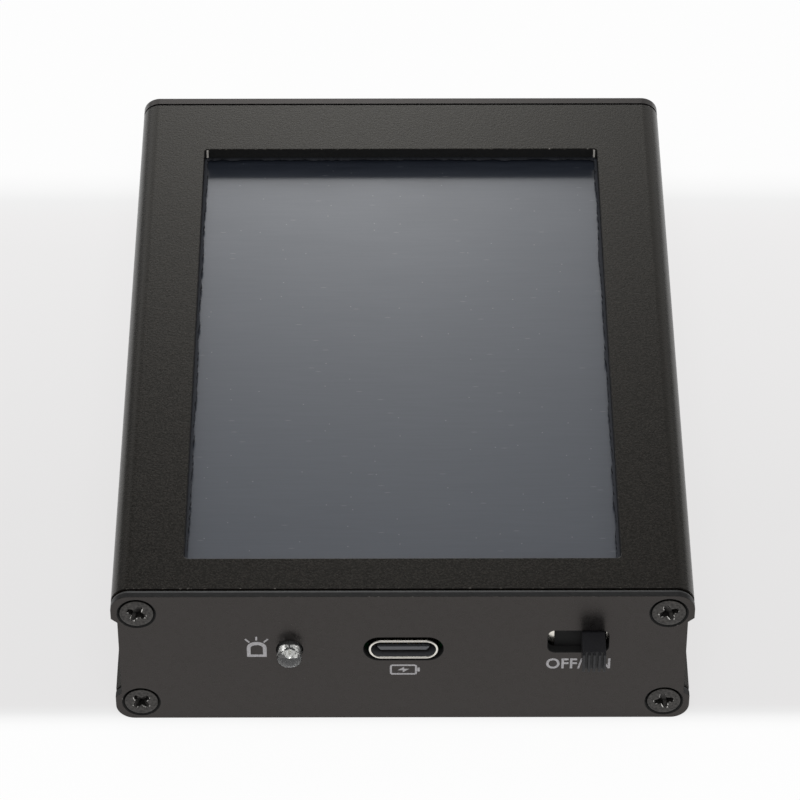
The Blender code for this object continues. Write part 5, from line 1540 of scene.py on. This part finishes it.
def make_beacon_mark():
    """Beacon sign by the lamp: a dome with three rays."""
    outer = dome_outline(BEACON_HALF_WIDTH, BEACON_BOTTOM_Z, BEACON_TOP_Z, BEACON_SHOULDER)
    inner = dome_outline(
        BEACON_HALF_WIDTH - BEACON_SIDE_STROKE, BEACON_BOTTOM_Z + BEACON_FOOT_STROKE,
        BEACON_TOP_Z - BEACON_TOP_STROKE, BEACON_SHOULDER / 2
    )
    rays = ink_block([bar(start, end, BEACON_RAY_STROKE) for start, end in BEACON_RAYS])
    inked("beacon_mark", joined(printed_frame(outer, inner), rays))


def make_battery_mark():
    """Plain battery sign with a bolt, by the charging socket."""
    half_u, half_v = BATTERY_MARK_HALF_U, BATTERY_MARK_HALF_V
    outer = rounded_rectangle(half_u, half_v, BATTERY_MARK_CORNER)
    inner = rounded_rectangle(
        half_u - BATTERY_MARK_STROKE, half_v - BATTERY_MARK_STROKE, BATTERY_MARK_INNER_CORNER
    )
    terminal = rounded_rectangle(TERMINAL_HALF_U, TERMINAL_HALF_V, TERMINAL_CORNER, 3)
    terminal = shifted(terminal, half_u + TERMINAL_OFFSET, 0)
    right_side = [
        (-BOLT_TIP_X, -BOLT_HALF_HEIGHT), (BOLT_HALF_WIDTH, BOLT_NOTCH_Z), (BOLT_NOTCH_X, BOLT_NOTCH_Z)
    ]
    bolt = [(-u, -v) for u, v in right_side] + right_side
    outer, inner, terminal, bolt = [
        shifted(outline, *BATTERY_MARK_PLACE) for outline in (outer, inner, terminal, bolt)
    ]
    inked("battery_mark", joined(printed_frame(outer, inner), ink_block([terminal, bolt])))


make_covers()
make_front_plate()
make_rear_plate()
make_screws()
make_window_gasket()
make_touch_panel()
make_socket_shell()
make_socket_tongue()
make_lamp()
make_switch_frame()
make_switch_lever()
make_jacks()
make_switch_words()
make_beacon_mark()
make_battery_mark()


# Pieces inside the case, kept as packed: finish, width of the broken edges, nodes

INNER_FINISHES = [
    ("polariser", 0.10 * MM, ["lcd_panel"]),
    ("tray_steel", 0.20 * MM, ["backlight_tray"]),
    ("polyimide", 0.03 * MM, ["display_flex"]),
    ("white_nylon", MOULDED_EDGE, ["display_connector", "battery_plug"]),
    ("black_foam", 0.30 * MM, ["display_strip_left", "display_strip_right"]),
    ("black_foam", 0.15 * MM, ["battery_pad"]),
    ("solder_mask", 0.08 * MM, ["main_board"]),
    ("bright_nickel", 0.05 * MM, ["shield_fence"]),
    ("bright_nickel", 0.08 * MM, ["shield_lid"]),
    ("bright_nickel", 0.20 * MM, ["reference_oscillator"]),
    ("chip_epoxy", 0.08 * MM, ["mixer_chip", "synthesizer_chip", "charger_chip"]),
    ("chip_epoxy", MOULDED_EDGE, ["processor_chip", "memory_chip"]),
    ("ferrite", 0.15 * MM, ["power_inductor"]),
    ("laminate_pouch", 0, ["battery"]),
    ("red_pvc", 0, ["battery_lead_red"]),
    ("black_pvc", 0, ["battery_lead_black"]),
    ("tinned_copper", 0, ["lamp_leg_left", "lamp_leg_right"]),
    ("tinned_copper", 0.05 * MM, ["switch_pin_1", "switch_pin_2", "switch_pin_3"]),
    ("black_nylon", MOULDED_EDGE, ["switch_base"]),
]
WELD_DISTANCE = 0.001 * MM


def finish_inner_node(node, finish, edge):
    for slot in node.material_slots:
        slot.material = finishes[finish]
    welded = node.modifiers.new("welded", "WELD")
    welded.merge_threshold = WELD_DISTANCE
    if edge:
        rounded = node.modifiers.new("broken_edges", "BEVEL")
        rounded.width = edge
        rounded.segments = 2
        rounded.limit_method = "ANGLE"
        rounded.angle_limit = SMOOTH_ANGLE


for finish, edge, names in INNER_FINISHES:
    for name in names:
        finish_inner_node(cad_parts[name], finish, edge)


# Camera, floor and light

CAMERA_PLACE = Vector((-1.28, -435.08, 398.42)) * MM
CAMERA_PITCH = math.radians(41.80)
CAMERA_YAW = math.radians(0.14)
FOCAL_PIXELS = 4234.1
PICTURE_PIXELS = 800
SENSOR_WIDTH = 36.0
WORLD_LEVEL = 0.33
FLOOR_SIZE = 3.0
FLOOR_SHINE = 0.93
FLOOR_GREY = 0.92
# Floor level from front to back, as (y in millimetres, sRGB): white, with a pale grey band of painted shadow
# beside the case
FLOOR_PAINTED_SHADOW = [
    (-150, "ffffff"), (-53.5, "ffffff"), (-52, "fbfbfb"), (-51.3, "f4f4f4"), (-50.5, "ebebeb"),
    (-49.5, "e6e5e5"), (-48, "e5e4e4"), (-12, "e6e5e5"), (4, "e8e7e7"), (30, "ebeaea"), (44, "edecec"),
    (51, "efeeee"), (55, "f1f1f1"), (57, "f7f7f7"), (58.4, "fafafa"), (61, "fefefe"), (62.4, "ffffff"),
    (150, "ffffff")
]
CARD_Y = 0.45
CARD_LEFT, CARD_RIGHT = -0.34, 0.40
CARD_BOTTOM, CARD_TOP = 0.05, 0.62
CARD_PEAK = 3.20
# Card level by height in metres, measured in what the screen mirrors
CARD_HEIGHTS = [
    (0.05, 3.20), (0.30, 3.10), (0.325, 2.65), (0.345, 1.92), (0.357, 1.53), (0.379, 1.14), (0.397, 0.79),
    (0.415, 0.61), (0.433, 0.495), (0.452, 0.435), (0.472, 0.36), (0.488, 0.30), (0.54, 0.19), (0.62, 0.13)
]
# It falls off towards both sides
CARD_SIDES = [
    (-0.34, 0.36), (-0.12, 0.44), (-0.05, 0.74), (-0.03, 0.91), (0.0, 1.0), (0.03, 1.0), (0.045, 0.96),
    (0.06, 0.82), (0.40, 0.74)
]
# It dims towards the right, and less so higher up
CARD_ACROSS = [(-0.34, 0.0), (0.0, 0.0), (0.041, 0.42), (0.10, 0.65), (0.40, 0.75)]
CARD_DIMMING = [
    (0.05, 0.9), (0.345, 0.95), (0.37, 0.85), (0.394, 0.55), (0.433, 0.17), (0.48, 0.08), (0.52, 0.0),
]


def make_camera():
    data = bpy.data.cameras.new("camera")
    data.sensor_width = SENSOR_WIDTH
    data.lens = FOCAL_PIXELS * SENSOR_WIDTH / PICTURE_PIXELS
    camera = linked("camera", data)
    camera.location = CAMERA_PLACE
    camera.rotation_euler = (math.pi / 2 - CAMERA_PITCH, 0, -CAMERA_YAW)
    bpy.context.scene.camera = camera


def make_world():
    world = bpy.data.worlds.new("studio")
    world.use_nodes = True
    background = world.node_tree.nodes["Background"]
    background.inputs["Color"].default_value = (1, 1, 1, 1)
    background.inputs["Strength"].default_value = WORLD_LEVEL
    bpy.context.scene.world = world


def staged_plane(name, corners, material):
    mesh = bpy.data.meshes.new(name)
    mesh.from_pydata(corners, [], [(0, 1, 2, 3)])
    mesh.materials.append(material)
    plane = linked(name, mesh)
    return plane


def empty_material(name):
    material = bpy.data.materials.new(name)
    material.use_nodes = True
    material.node_tree.nodes.clear()
    return material, material.node_tree


def position_share(tree, axis, low, high):
    """Share of the way from low to high along a world axis."""
    place = add_node(tree, "ShaderNodeNewGeometry")
    split = add_node(tree, "ShaderNodeSeparateXYZ", joins={"Vector": place.outputs["Position"]})
    limits = {"From Min": low, "From Max": high}
    return add_node(tree, "ShaderNodeMapRange", limits, {"Value": split.outputs[axis]}).outputs["Result"]


def make_floor():
    """Pale paper: mostly its own tone where the camera or a reflection sees it, with a painted shadow band beside
    the case, and it takes shadow.
    """
    material, tree = empty_material("pale_floor_with_painted_shadow")
    low, high = FLOOR_PAINTED_SHADOW[0][0], FLOOR_PAINTED_SHADOW[-1][0]
    share = position_share(tree, "Y", low * MM, high * MM)
    stops = [((y - low) / (high - low), srgb(code)) for y, code in FLOOR_PAINTED_SHADOW]
    painted_shadow = add_node(tree, "ShaderNodeValToRGB", {"stops": stops}, {"Fac": share})
    lit = add_node(tree, "ShaderNodeBsdfDiffuse", {"Color": (FLOOR_GREY, FLOOR_GREY, FLOOR_GREY, 1)})
    shine = add_node(tree, "ShaderNodeEmission", {"Strength": 1.0}, {"Color": painted_shadow.outputs["Color"]})
    path = add_node(tree, "ShaderNodeLightPath")
    seen = path.outputs["Is Camera Ray"]
    for other in ("Is Glossy Ray", "Is Transmission Ray"):
        either = {0: seen, 1: path.outputs[other]}
        seen = add_node(tree, "ShaderNodeMath", {"operation": "MAXIMUM"}, either).outputs["Value"]
    glow = add_node(tree, "ShaderNodeMath", {"operation": "MULTIPLY", 1: FLOOR_SHINE}, {0: seen})
    both = {0: glow.outputs["Value"], 1: lit.outputs["BSDF"], 2: shine.outputs["Emission"]}
    mixed = add_node(tree, "ShaderNodeMixShader", joins=both)
    add_node(tree, "ShaderNodeOutputMaterial", joins={"Surface": mixed.outputs["Shader"]})
    size = FLOOR_SIZE
    staged_plane("floor", [(-size, -size, 0), (size, -size, 0), (size, size, 0), (-size, size, 0)], material)


def level_ramp(tree, share, steps, low, high, peak):
    """Grey level along a share of the way, from (place, level) steps."""
    stops = []
    for place, level in steps:
        grey = level / peak
        stops.append(((place - low) / (high - low), (grey, grey, grey, 1)))
    return add_node(tree, "ShaderNodeValToRGB", {"stops": stops}, {"Fac": share}).outputs["Color"]


def make_light_card():
    """Tall softbox behind the case, bright below and fading upwards and to the sides."""
    material, tree = empty_material("softbox_cloth")
    up = position_share(tree, "Z", CARD_BOTTOM, CARD_TOP)
    across = position_share(tree, "X", CARD_LEFT, CARD_RIGHT)
    rising = level_ramp(tree, up, CARD_HEIGHTS, CARD_BOTTOM, CARD_TOP, CARD_PEAK)
    sides = level_ramp(tree, across, CARD_SIDES, CARD_LEFT, CARD_RIGHT, 1.0)
    sideways = level_ramp(tree, across, CARD_ACROSS, CARD_LEFT, CARD_RIGHT, 1.0)
    dimming = level_ramp(tree, up, CARD_DIMMING, CARD_BOTTOM, CARD_TOP, 1.0)
    product = {"operation": "MULTIPLY"}
    rounded, lost = [
        add_node(tree, "ShaderNodeVectorMath", product, {0: first, 1: last}).outputs["Vector"]
        for first, last in [(rising, sides), (sideways, dimming)]
    ]
    kept = add_node(tree, "ShaderNodeVectorMath", {"operation": "SUBTRACT", 0: (1, 1, 1)}, {1: lost})
    both = {0: rounded, 1: kept.outputs["Vector"]}
    level = add_node(tree, "ShaderNodeVectorMath", product, both)
    glow = add_node(tree, "ShaderNodeEmission", {"Strength": CARD_PEAK}, {"Color": level.outputs["Vector"]})
    add_node(tree, "ShaderNodeOutputMaterial", joins={"Surface": glow.outputs["Emission"]})
    corners = [
        (CARD_LEFT, CARD_Y, CARD_BOTTOM), (CARD_RIGHT, CARD_Y, CARD_BOTTOM), (CARD_RIGHT, CARD_Y, CARD_TOP),
        (CARD_LEFT, CARD_Y, CARD_TOP)
    ]
    staged_plane("softbox", corners, material).visible_camera = False


def make_area_light(name, place, target, size, power, glossy=True):
    data = bpy.data.lights.new(name, "AREA")
    data.size = size
    data.energy = power
    light = linked(name, data)
    light.location = place
    aim = Vector(target) - Vector(place)
    light.rotation_euler = aim.to_track_quat("-Z", "Y").to_euler()
    light.visible_camera = False
    light.visible_glossy = glossy


make_camera()
make_world()
make_floor()
make_light_card()
make_area_light("overhead", place=(0, -0.05, 0.50), target=(0, -0.05, 0), size=0.25, power=0.29)
make_area_light("room_light", place=(0, -0.35, 0.55), target=(0, 0, 0), size=0.30, power=2.0, glossy=False)
bpy.context.scene.view_settings.view_transform = "Standard"
